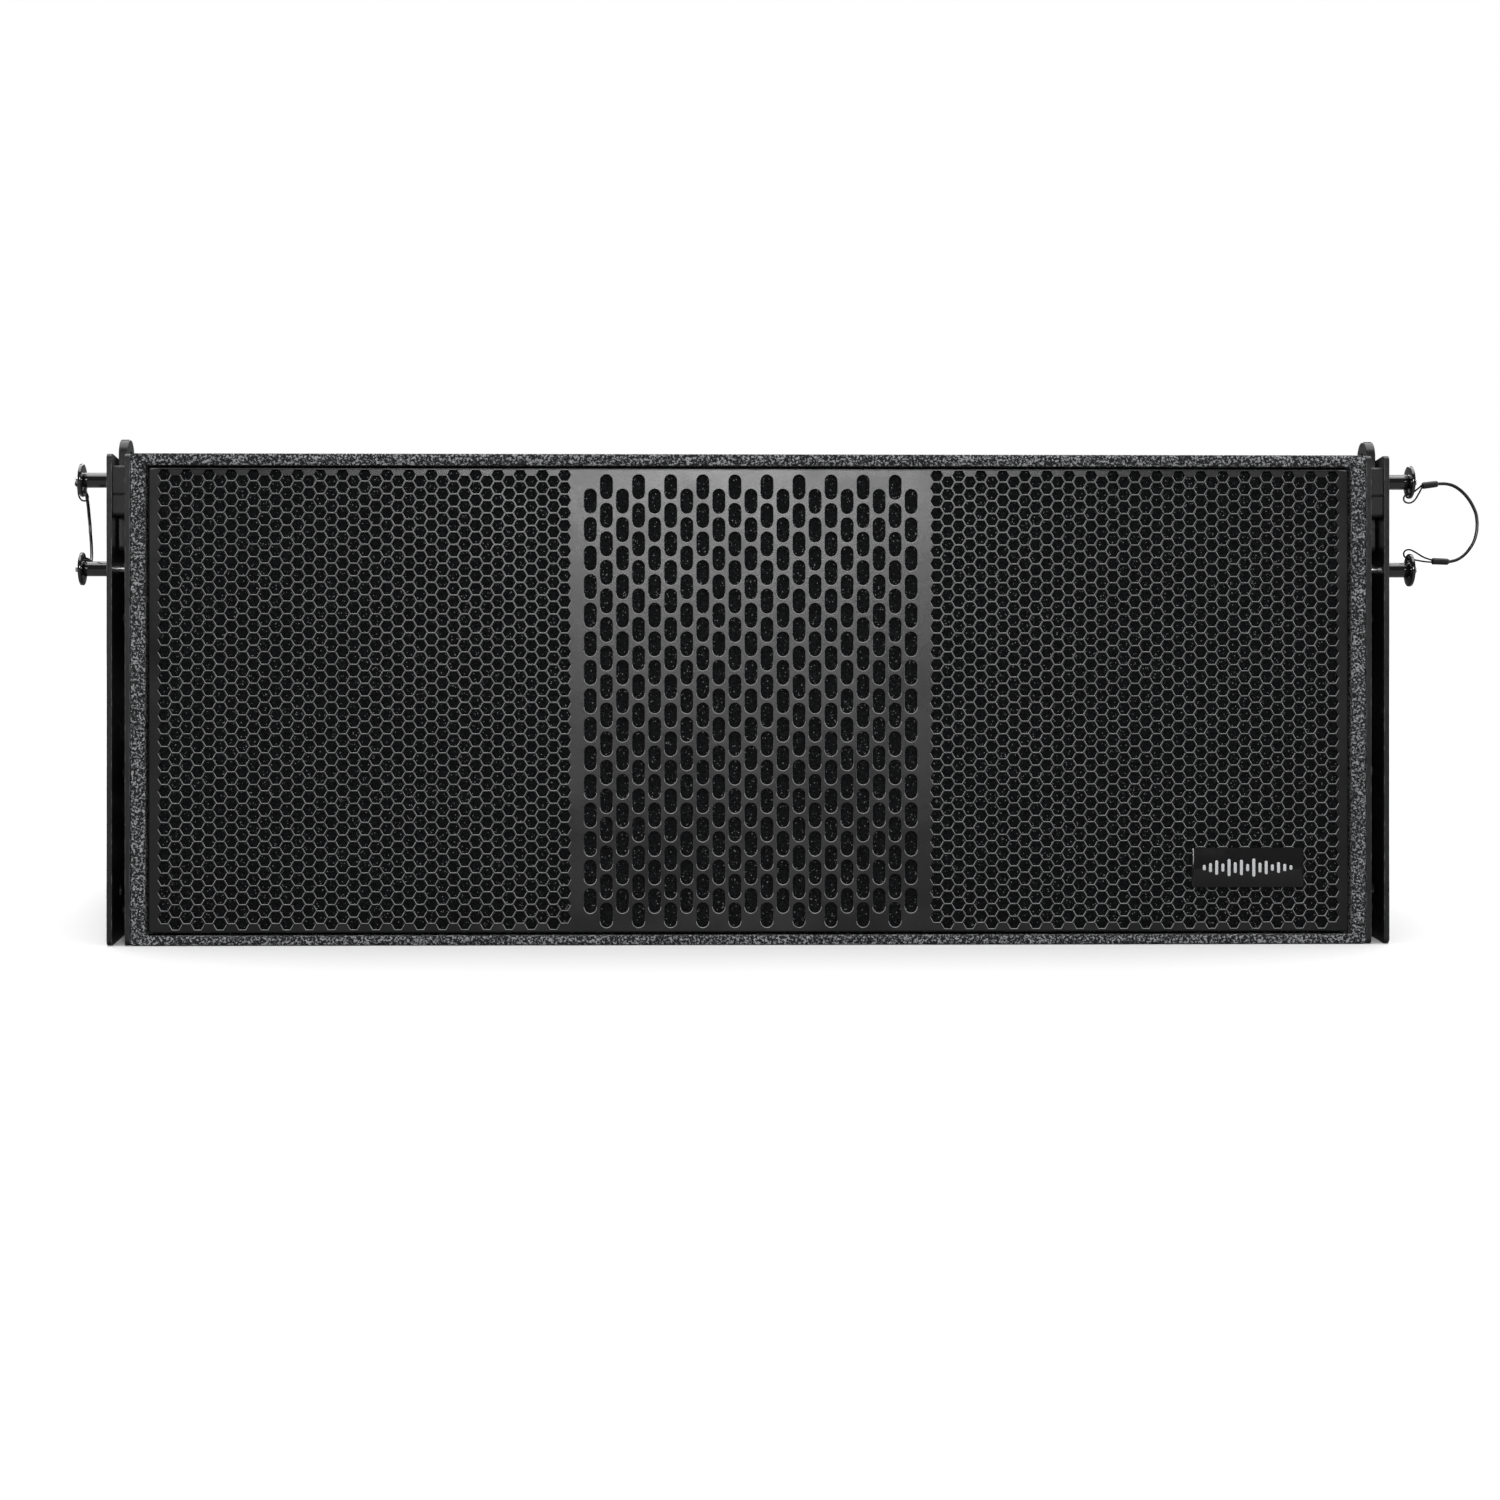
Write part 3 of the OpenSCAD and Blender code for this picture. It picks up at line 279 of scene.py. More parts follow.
BLACK = (0.012, 0.012, 0.0125)
JET = ((0.003, 0.003, 0.0033), (0.006, 0.006, 0.0065))
FINISHES = {
    "textured_paint": textured_paint(),
    "plywood": plywood(),
    "grille_coat": coated(
        "grille_coat", (0.006, 0.006, 0.0066), (0.009, 0.009, 0.0098), 0.27,
        ((1500, 0.00003), (260, 0.00003)), 7,
    ),
    # Pale finish painted on the holes' lower rims and the sheet's top bend as a highlight
    "painted_rim_highlight": coated("painted_rim_highlight", (0.16, 0.16, 0.164), (0.32, 0.32, 0.33), 0.3, ((1500, 0.00004),), 160),
    "foam": open_foam(),
    "badge": coated("badge", (0.006, 0.006, 0.007), (0.009, 0.009, 0.010), 0.12, ((2200, 0.00001),)),
    "badge_print": coated("badge_print", (0.66, 0.67, 0.68), (0.74, 0.75, 0.76), 0.4, ((1500, 0.00001),)),
    "rig_coat": coated(
        "rig_coat", (0.009, 0.009, 0.0095), (0.014, 0.014, 0.0155), 0.32,
        ((1100, 0.0001), (420, 0.00006)), 18,
        worn=((0.22, 0.22, 0.225), 0.0014, 0.95),
    ),
    "link_steel": coated(
        "link_steel", (0.010, 0.010, 0.011), (0.016, 0.016, 0.018), 0.3, ((900, 0.00006),), 30,
        worn=((0.2, 0.2, 0.21), 0.0014, 0.6),
    ),
    "black_screw": steel("black_screw", (0.10, 0.10, 0.105), 0.38, (1, 1, 1)),
    "pin_coat": coated("pin_coat", JET[0], JET[1], 0.13, ((700, 0.00002),), 60, coat=1.0),
    "pin_steel": steel("pin_steel", (0.72, 0.72, 0.71), 0.2),
    "button_steel": steel("button_steel", (0.75, 0.75, 0.74), 0.18, (1, 1, 1)),
    "lanyard_coat": coated("lanyard_coat", JET[0], JET[1], 0.3, ((1500, 0.00003),), 60, coat=0.3),
    "spacer_coat": coated(
        "spacer_coat", (0.005, 0.005, 0.0055), (0.008, 0.008, 0.0085), 0.5, ((700, 0.00008),), 40
    ),
    "sleeve": coated("sleeve", (0.004, 0.004, 0.0042), (0.008, 0.008, 0.0085), 0.4, ((1200, 0.00004),), 90),
    "wire_steel": steel("wire_steel", (0.035, 0.035, 0.037), 0.34, (8, 8, 8)),
    "basket_metal": coated("basket_metal", (0.03, 0.03, 0.031), (0.05, 0.05, 0.052), 0.5, ((500, 0.0002),)),
    "magnet": coated("magnet", (0.06, 0.06, 0.063), (0.1, 0.1, 0.105), 0.45, ((700, 0.0001),)),
    "cone_paper": paper_cone(),
    "coil_copper": steel("coil_copper", (0.75, 0.36, 0.16), 0.3, (1, 90, 1)),
    "surround_rubber": coated("surround_rubber", BLACK, (0.02, 0.02, 0.021), 0.6, ((900, 0.00008),)),
    "spider_cloth": woven("spider_cloth", (0.42, 0.24, 0.07), (0.68, 0.44, 0.16), 260, 0.0003),
    "horn_plastic": coated(
        "horn_plastic", (0.012, 0.012, 0.013), (0.018, 0.018, 0.019), 0.4, ((800, 0.0001),)
    ),
    "driver_metal": coated("driver_metal", (0.04, 0.04, 0.042), (0.065, 0.065, 0.07), 0.4, ((500, 0.0001),)),
    "black_plastic": coated(
        "black_plastic", BLACK, (0.019, 0.019, 0.02), 0.46, ((1000, 0.00014), (300, 0.00006))
    ),
    "socket_plastic": coated(
        "socket_plastic", (0.009, 0.012, 0.02), (0.013, 0.017, 0.028), 0.38, ((900, 0.00005),)
    ),
    "board": coated("board", (0.012, 0.07, 0.03), (0.02, 0.1, 0.045), 0.4, ((1200, 0.00008),)),
    "coil_enamel": steel("coil_enamel", (0.72, 0.3, 0.1), 0.3, (90, 1, 1)),
    "damping_felt": woven("damping_felt", (0.22, 0.22, 0.23), (0.4, 0.4, 0.41), 150, 0.0008),
}


# ---- Mesh tools ----


def bridge(bm, ring, after, closed=True):
    """Quads between two rings of vertices."""
    made = []
    count = len(ring)
    for i in range(count if closed else count - 1):
        j = (i + 1) % count
        made.append(bm.faces.new((ring[i], ring[j], after[j], after[i])))
    return made


def ring_edges(bm, ring):
    return [bm.edges.get((ring[i], ring[(i + 1) % len(ring)])) for i in range(len(ring))]


def finished(name, bm, finish, smooth_to=35):
    """The mesh as a shown object with one finish, edges under smooth_to degrees smooth."""
    bmesh.ops.remove_doubles(bm, verts=bm.verts, dist=1e-7)
    bmesh.ops.recalc_face_normals(bm, faces=bm.faces)
    mesh = bpy.data.meshes.new(name)
    bm.to_mesh(mesh)
    bm.free()
    mesh.polygons.foreach_set("use_smooth", [True] * len(mesh.polygons))
    mesh.set_sharp_from_angle(angle=math.radians(smooth_to))
    made = bpy.data.objects.new(name, mesh)
    bpy.context.scene.collection.objects.link(made)
    mesh.materials.append(FINISHES[finish])
    return made


def keep_flat(mesh, normal):
    """Sharp edges round the faces that look along normal, so that rims don't bend the light on them."""
    bm = bmesh.new()
    bm.from_mesh(mesh)
    for e in bm.edges:
        if len({f.normal.dot(normal) > 0.9999 for f in e.link_faces}) == 2:
            e.smooth = False
    bm.to_mesh(mesh)
    bm.free()


def circle(u, v, r, count=48):
    angles = [2 * math.pi * i / count for i in range(count)]
    return [(u + r * math.cos(angle), v + r * math.sin(angle)) for angle in angles]


def round_rect(u0, v0, u1, v1, r, count=5):
    """A rectangle with round corners, anticlockwise, from its upper right corner."""
    points = []
    centres = ((u1 - r, v1 - r, 0), (u0 + r, v1 - r, 90), (u0 + r, v0 + r, 180), (u1 - r, v0 + r, 270))
    for cu, cv, start in centres:
        for i in range(count):
            angle = math.radians(start + 90 * i / (count - 1))
            points.append((cu + r * math.cos(angle), cv + r * math.sin(angle)))
    return points


def inset(loop, distance):
    """An anticlockwise loop moved inwards, or outwards if distance is negative."""
    if not distance:
        return list(loop)
    out = []
    for i, here in enumerate(loop):
        before, after = Vector(loop[i - 1]), Vector(loop[(i + 1) % len(loop)])
        here = Vector(here)
        a, b = (here - before).normalized(), (after - here).normalized()
        na, nb = Vector((-a.y, a.x)), Vector((-b.y, b.x))
        out.append(tuple(here + (na + nb) / (1 + na.dot(nb)) * distance))
    return out


def slab(name, outline, holes, w0, w1, edge, place, finish):
    """A flat plate from depth w0 to w1 with rounded edges. place(u, v, w) gives a point in the row frame."""
    bm = bmesh.new()
    ends = ([], [])
    for loop, way in [(outline, 1)] + [(hole, -1) for hole in holes]:
        rings = []
        for share, w in (
            (1, w0), (0.3, w0 + 0.3 * edge), (0, w0 + edge), (0, w1 - edge), (0.3, w1 - 0.3 * edge), (1, w1),
        ):
            rings.append([bm.verts.new(place(u, v, w)) for u, v in inset(loop, way * share * edge)])
        for ring, after in zip(rings, rings[1:]):
            bridge(bm, ring, after)
        ends[0].extend(ring_edges(bm, rings[0]))
        ends[1].extend(ring_edges(bm, rings[-1]))
    for edges in ends:
        bmesh.ops.triangle_fill(bm, edges=edges, use_beauty=True)
    return finished(name, bm, finish, 40)


def lathe(name, profile, frame_at, finish, count=48, smooth_to=40):
    """A profile of (distance along, radius) turned about frame_at's Z axis. Radius 0 closes an end."""
    bm = bmesh.new()
    rings = []
    for along, radius in profile:
        if radius == 0:
            rings.append([bm.verts.new(frame_at @ Vector((0, 0, along)))])
        else:
            around = circle(0, 0, radius, count)
            rings.append([bm.verts.new(frame_at @ Vector((u, v, along))) for u, v in around])
    for ring, after in zip(rings, rings[1:]):
        if len(ring) == 1 or len(after) == 1:
            tip, rim = (ring[0], after) if len(ring) == 1 else (after[0], ring)
            for i in range(count):
                bm.faces.new((tip, rim[i], rim[(i + 1) % count]))
        else:
            bridge(bm, ring, after)
    return finished(name, bm, finish, smooth_to)


def spline(points, steps=6):
    """A smooth line through the points."""
    points = [Vector(p) for p in points]
    ends = [2 * points[0] - points[1], *points, 2 * points[-1] - points[-2]]
    line = []
    for a, b, c, d in zip(ends, ends[1:], ends[2:], ends[3:]):
        for k in range(steps):
            t = k / steps
            square = (2 * a - 5 * b + 4 * c - d) * t * t
            cube = (3 * b - a - 3 * c + d) * t**3
            line.append(0.5 * (2 * b + (c - a) * t + square + cube))
    return [*line, points[-1]]


def tube(name, line, radius, finish, sides=14, twist=None):
    """A round tube along a line in the row frame; twist is (strands, depth) for a laid wire."""
    bm = bmesh.new()
    rings = []
    up = Vector((0.13, 0.21, 0.97))
    travelled = 0.0
    for i, here in enumerate(line):
        direction = (line[min(i + 1, len(line) - 1)] - line[max(i - 1, 0)]).normalized()
        side = direction.cross(up).normalized()
        up = side.cross(direction)
        if i:
            travelled += (here - line[i - 1]).length
        ring = []
        for k in range(sides):
            angle = 2 * math.pi * k / sides
            r = radius
            if twist:
                r -= twist[1] * (0.5 - 0.5 * math.cos(twist[0] * (angle + travelled / radius * 0.35)))
            ring.append(bm.verts.new(here + r * (math.cos(angle) * side + math.sin(angle) * up)))
        rings.append(ring)
    for ring, after in zip(rings, rings[1:]):
        bridge(bm, ring, after)
    for ring in (rings[0], rings[-1]):
        bm.faces.new(ring)
    return finished(name, bm, finish, 50)


# ---- Lanyards ----

# Points are (outwards, back, up) in mm from the middle of the upper pin's disc, as in the CAD source.
ROUTES = {
    "right_upper": [
        (22, 0, -1), (28, 0, -1), (34, 0, -2.5), (39.5, 0, -6),
        (44.5, 0, -11), (48.5, 0, -17), (51.5, 0, -24), (52.5, 0, -31),
    ],
    "right_lower": [
        (52.5, 0, -31), (52, 0, -38), (50, 0, -45), (46.5, 0, -51), (42, 0, -56),
        (36.5, 0, -59.5), (30.5, 0, -61),
    ],
    "left_upper": [
        (5, 19, -1), (5.5, 25, -1), (5.5, 31, -2.5), (5.5, 36.5, -6),
        (5.5, 41.5, -11), (5.5, 45.5, -17), (5.5, 48.5, -24), (5, 49.5, -31),
    ],
    "left_lower": [
        (5, 49.5, -31), (4.5, 49, -38), (3.5, 47, -45), (2.5, 43.5, -51), (1.5, 39, -56),
        (0.5, 33.5, -59.5), (0, 27.5, -61),
    ],
}
MOUTHS = {
    "right_upper": (10, 0, -2.5), "right_lower": (17.5, 0, -60.5),
    "left_upper": (5, 7, -2), "left_lower": (0, 15, -60.5),
}
# Wire loops through the discs' eyelets: (outwards, back, from the pin's axis towards the eyelet) in mm
LOOPS = {
    "right_upper": [
        (10, 0, 1.7), (7, 0, 4.4), (3.5, 0, 7.2), (1.6, 0, 8.4), (0, 0, 8.6), (-1.6, 0, 8.8), (-3.4, 0, 10),
        (-4.4, 0, 12), (-4, 0, 14.2), (-2, 0, 15.6), (1, 0, 15.6), (4, 0, 13.6), (7, 0, 9), (10, 0, 3.3),
    ],
    "right_lower": [
        (17.5, 0, 6.2), (12, 0, 6.6), (6, 0, 7.6), (1.6, 0, 8.5), (0, 0, 8.6), (-1.6, 0, 8.8),
        (-3.4, 0, 10), (-4.4, 0, 12), (-4, 0, 14.2), (-2, 0, 15.6), (1, 0, 15.6), (5, 0, 13.6),
        (11, 0, 10), (17.5, 0, 7.8),
    ],
    "left_upper": [
        (5, 7, 1.2), (4.6, 4.6, 5), (3.4, 2, 7.4), (1.6, 0.4, 8.5), (0, 0, 8.6), (-1.6, 0.2, 8.8),
        (-3.2, 0.4, 10), (-4, 1, 12.2), (-3.4, 2, 14.4), (-1, 3.2, 15.4), (2, 4.4, 14.4), (4.2, 5.6, 10.5),
        (5, 7, 2.8),
    ],
    "left_lower": [
        (0.8, 15, 7), (2.2, 12, 7.2), (2.6, 8, 7.6), (2.6, 4, 8.2), (1.6, 0.6, 8.6), (0, 0, 8.6),
        (-1.6, 0.6, 8.6), (-2.6, 4, 8.2), (-2.6, 8, 7.6), (-2.2, 12, 7.2), (-0.8, 15, 7),
    ],
}
WIRE_R, SLEEVE_R, LOOP_R = 0.00125, 0.0026, 0.0007
STRANDS, STRAND_DEPTH = 5, 0.00012
DISC_MID = 0.50825


def side_sign(name):
    return -1 if name.startswith("left") else 1


def pin_axis(name):
    """[back, up] of a pin's axis in the upright design."""
    low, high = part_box(name)
    middle = SEAT.inverted() @ ((low + high) / 2)
    return middle.y, middle.z


def lanyard_point(end, p):
    """A route point of one lanyard half, in the row frame."""
    back, up = pin_axis(end.split("_")[0] + "_upper_pin")
    return seat((side_sign(end) * (DISC_MID + p[0] / 1000), back + p[1] / 1000, up + p[2] / 1000))


def loop_point(end, p):
    back, up = pin_axis(end + "_pin")
    way = -1 if end.endswith("upper") else 1
    return seat((side_sign(end) * (DISC_MID + p[0] / 1000), back + p[1] / 1000, up + way * p[2] / 1000))


def lanyard_half(end):
    body = end + "_pin"
    line = spline([lanyard_point(end, p) for p in ROUTES[end]], 5)
    if end.endswith("lower"):
        line.reverse()
    mouth = lanyard_point(end, MOUTHS[end])
    along = line[0] - mouth
    length = along.length
    at = Matrix.Translation(mouth) @ along.to_track_quat("Z", "Y").to_matrix().to_4x4()
    profile = [
        (0, 0), (0, SLEEVE_R - 0.0005), (0.0004, SLEEVE_R), (length * 0.7, SLEEVE_R * 0.97),
        (length - 0.001, SLEEVE_R * 0.93), (length - 0.0002, WIRE_R + 0.0006), (length, WIRE_R), (length, 0),
    ]
    sleeve = lathe(end + "_crimp", profile, at, "sleeve", 32, 30)
    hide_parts(end + "_sleeve")
    turn = spline([loop_point(end, p) for p in LOOPS[end]], 5)
    loop = tube(end + "_loop", turn, LOOP_R, "wire_steel", 14, (STRANDS, STRAND_DEPTH))
    wire = tube(end + "_wire", line, WIRE_R, "lanyard_coat", 16)
    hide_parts(end + "_lanyard")
    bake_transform(wire)
    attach(sleeve, body)
    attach(loop, body)


for end in ROUTES:
    lanyard_half(end)


# ---- Quick-release pins ----

TIP_X, PLATE_X, DISC_X = HALF - 0.005, 0.4836, 0.507
SHANK_R, BARREL_R, DISC_R, DISC_T = 0.004, 0.0057, 0.0126, 0.0025
EYELET_Z, EYELET_R, BORE_R = 0.0086, 0.0018, 0.0027


def pin(name):
    sign = side_sign(name)
    back, up = pin_axis(name)
    at = SEAT @ Matrix.Translation((0, back, up)) @ Matrix.Rotation(math.radians(90 * sign), 4, "Y")
    shank = lathe(
        name + "_shank",
        [
            (TIP_X, 0), (TIP_X, 0.0026), (TIP_X + 0.002, 0.0039), (TIP_X + 0.0024, SHANK_R),
            (TIP_X + 0.0046, SHANK_R), (TIP_X + 0.0048, 0.0037), (TIP_X + 0.0056, 0.0037),
            (TIP_X + 0.0058, SHANK_R), (PLATE_X + 0.0003, SHANK_R), (PLATE_X + 0.0003, 0),
        ],
        at, "pin_steel", 40,
    )
    r, x0 = BARREL_R, PLATE_X + 0.0002
    barrel = lathe(
        name + "_barrel",
        [
            (x0, 0.0038), (x0, r - 0.0009), (x0 + 0.0003, r - 0.0003), (x0 + 0.0009, r), (x0 + 0.0042, r),
            (x0 + 0.0044, r - 0.0003), (x0 + 0.0050, r - 0.0003), (x0 + 0.0052, r), (DISC_X - 0.0012, r),
            (DISC_X - 0.0006, r - 0.0002), (DISC_X, r - 0.0004),
        ],
        at, "pin_coat", 48,
    )
    way = 1 if name.endswith("lower_pin") else -1
    disc = slab(
        name + "_disc", circle(back, up, DISC_R, 80),
        [circle(back, up + way * EYELET_Z, EYELET_R, 24), circle(back, up, BORE_R, 24)],
        DISC_X, DISC_X + DISC_T, 0.0006, lambda u, v, w: seat((sign * w, u, v)), "pin_coat",
    )
    hub = lathe(
        name + "_hub",
        [
            (DISC_X + 0.0024, 0.0042), (DISC_X + 0.0036, 0.0042), (DISC_X + 0.0039, 0.0039),
            (DISC_X + 0.004, 0.0035), (DISC_X + 0.004, 0.0029), (DISC_X + 0.0038, 0.00262),
            (DISC_X - 0.015, 0.00262),
        ],
        at, "pin_coat", 40,
    )
    for piece in (shank, barrel, disc, hub):
        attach(piece, name)
        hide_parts(name)


WHICH = ("upper", "lower", "rear")
PINS = [side + "_" + which + "_pin" for side in ("left", "right") for which in WHICH]
for name in PINS:
    pin(name)


# ---- Grille ----

GRILLE_HALF, GRILLE_LOW, GRILLE_HIGH = 0.4528, 0.0094, 0.3591
SHEET_Y, SHEET_T, FOLD = 0.0015, 0.0015, 0.016
HEX_X0, HEX_A, HEX_B, HEX_Z0, HEX_COLS, HEX_ROWS = 0.1404, 0.00834, 0.00951, 0.0209, 37, 36
HEX_HOLE = 0.94
HOLE_RIM = 0.00055
BEND = 0.0013
SLOT_W, SLOT_H, SLOT_A, SLOT_B, SLOT_COLS, SLOT_ROWS = 0.0100, 0.0196, 0.0121, 0.0215, 21, 16
SLOT_MID = (GRILLE_LOW + GRILLE_HIGH) / 2 - 0.0005


def stadium(u, v, w, h, count=9):
    r, reach = w / 2, (h - w) / 2
    ends = []
    for centre, start in ((reach, 0), (-reach, 180)):
        for i in range(count):
            angle = math.radians(start + 180 * i / (count - 1))
            ends.append((u + r * math.cos(angle), v + centre + r * math.sin(angle)))
    return ends


def grille_sheet():
    """The folded steel sheet with all its holes; each hole has a rolled rim."""
    bm = bmesh.new()
    known = {}

    def vertex(x, z):
        key = (round(x * 1e6), round(z * 1e6))
        if key not in known:
            known[key] = bm.verts.new((x, SHEET_Y, z))
        return known[key]

    def hole(front_loop, centre):
        """A hole's rolled rim and wall, from its loop in the sheet's front to its back."""
        rim = HOLE_RIM
        ring = front_loop
        for inward, depth in ((0.7, 0.3), (1, 1), (1, SHEET_T / rim)):
            after = []
            for v in front_loop:
                out = v.co - centre
                p = v.co - out.normalized() * rim * inward
                after.append(bm.verts.new((p.x, SHEET_Y + depth * rim, p.z)))
            for face in bridge(bm, ring, after):
                # Painted highlight: the lower half of the rim gets the pale finish, as if lit from above
                if depth <= 1 and face.calc_center_median().z < centre.z - 0.001:
                    face.material_index = 1
            ring = after

    x1 = (HEX_A**2 + HEX_B**2 / 4) / (2 * HEX_A)
    x2 = (HEX_A**2 - HEX_B**2 / 4) / (2 * HEX_A)
    corners = [(x1, 0), (x2, HEX_B / 2), (-x2, HEX_B / 2), (-x1, 0), (-x2, -HEX_B / 2), (x2, -HEX_B / 2)]
    for side in (-1, 1):
        for column in range(HEX_COLS):
            cx = side * (HEX_X0 + column * HEX_A)
            for row in range(HEX_ROWS):
                cz = HEX_Z0 + row * HEX_B - (column % 2) * HEX_B / 2
                cell = [vertex(cx + u, cz + v) for u, v in corners]
                rim = [bm.verts.new((cx + u * HEX_HOLE, SHEET_Y, cz + v * HEX_HOLE)) for u, v in corners]
                bridge(bm, cell, rim)
                hole(rim, Vector((cx, SHEET_Y, cz)))
    shared = set(known.values())
    fill = [e for e in bm.edges if len(e.link_faces) == 1 and e.verts[0] in shared and e.verts[1] in shared]
    for column in range(SLOT_COLS):
        rows = SLOT_ROWS - (column + 1) % 2
        for row in range(rows):
            u = (column - (SLOT_COLS - 1) / 2) * SLOT_A
            v = SLOT_MID + (row - (rows - 1) / 2) * SLOT_B
            loop = [bm.verts.new((x, SHEET_Y, z)) for x, z in stadium(u, v, SLOT_W, SLOT_H)]
            hole(loop, Vector((u, SHEET_Y, v)))
            fill += ring_edges(bm, loop)
    rings = []
    outline = (-GRILLE_HALF, GRILLE_LOW, GRILLE_HALF, GRILLE_HIGH, 0.0025)
    for k in range(5):
        angle = math.radians(90 * k / 4)
        rings.append((BEND * (1 - math.sin(angle)), BEND * (1 - math.cos(angle))))
    rings += [(0, FOLD), (SHEET_T, FOLD), (SHEET_T, SHEET_T)]
    loops = []
    for shrink, depth in rings:
        loops.append([bm.verts.new((x, SHEET_Y + depth, z)) for x, z in inset(round_rect(*outline), shrink)])
    for ring, after in zip(loops, loops[1:]):
        for face in bridge(bm, ring, after):
            middle = face.calc_center_median()
            # Painted highlight: the front faces of the top bend get the pale rim finish
            if middle.z > GRILLE_HIGH - BEND and middle.y < SHEET_Y + BEND / 3:
                face.material_index = 1
    fill += ring_edges(bm, loops[0])
    bmesh.ops.triangle_fill(bm, edges=fill, use_beauty=True, normal=(0, -1, 0))
    bm.transform(SEAT)
    made = finished("grille_sheet", bm, "grille_coat", 50)
    made.data.materials.append(FINISHES["painted_rim_highlight"])
    keep_flat(made.data, TURN @ Vector((0, -1, 0)))
    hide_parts("grille")
    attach(made, "cabinet")


grille_sheet()


FOAM_LOW, FOAM_HIGH = (-0.4508, 0.0114), (0.4508, 0.3571)
FOAM_Y, FOAM_T = 0.0035, 0.0078
FOAM_ROUND, FOAM_SWELL = 0.0012, 0.0005


def foam_pad():
    """The foam behind the sheet: slightly pillowy, with soft edges."""
    low, high = FOAM_LOW, FOAM_HIGH
    bm = bmesh.new()
    columns, rows = 150, 60
    grid = []
    for j in range(rows + 1):
        line = []
        for i in range(columns + 1):
            x = low[0] + (high[0] - low[0]) * i / columns
            z = low[1] + (high[1] - low[1]) * j / rows
            rim = min(i, columns - i, j, rows - j)
            soft = FOAM_ROUND * max(0.0, 1 - rim / 1.5) ** 2
            swell = FOAM_SWELL * (0.5 + 0.5 * noise.noise(Vector((x * 30, 0.3, z * 30))))
            line.append(bm.verts.new((x, FOAM_Y + soft + swell, z)))
        grid.append(line)
    for a, b in zip(grid, grid[1:]):
        bridge(bm, a, b, closed=False)
    border = (
        grid[0] + [line[-1] for line in grid[1:]] + grid[-1][-2::-1] + [line[0] for line in grid[-2:0:-1]]
    )
    back = [bm.verts.new((v.co.x, FOAM_Y + FOAM_T, v.co.z)) for v in border]
    bridge(bm, border, back)
    bm.faces.new(back)
    bm.transform(SEAT)
    made = finished("foam_pad", bm, "foam", 60)
    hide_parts("grille_foam")
    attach(made, "cabinet")


foam_pad()


# ---- Cabinet shell ----

EDGE_R = 0.0014
REBATE_SIDE, REBATE_LOW, REBATE_TOP, REBATE_D, REBATE_EDGE = 0.0113, 0.0075, 0.009, 0.0195, 0.0008
POCKET, POCKET_D = 0.012, 0.009
RECEIVERS = ((0.031, 0.03999), (0.405, 0.07813))
HANDLE_X, HANDLE_HALF_W, HANDLE_HALF_H, HANDLE_D = 0.3, 0.0882, 0.0462, 0.049
INPUT_Z, INPUT_HALF_W, INPUT_HALF_H, INPUT_D = 0.227, 0.063, 0.036, 0.03


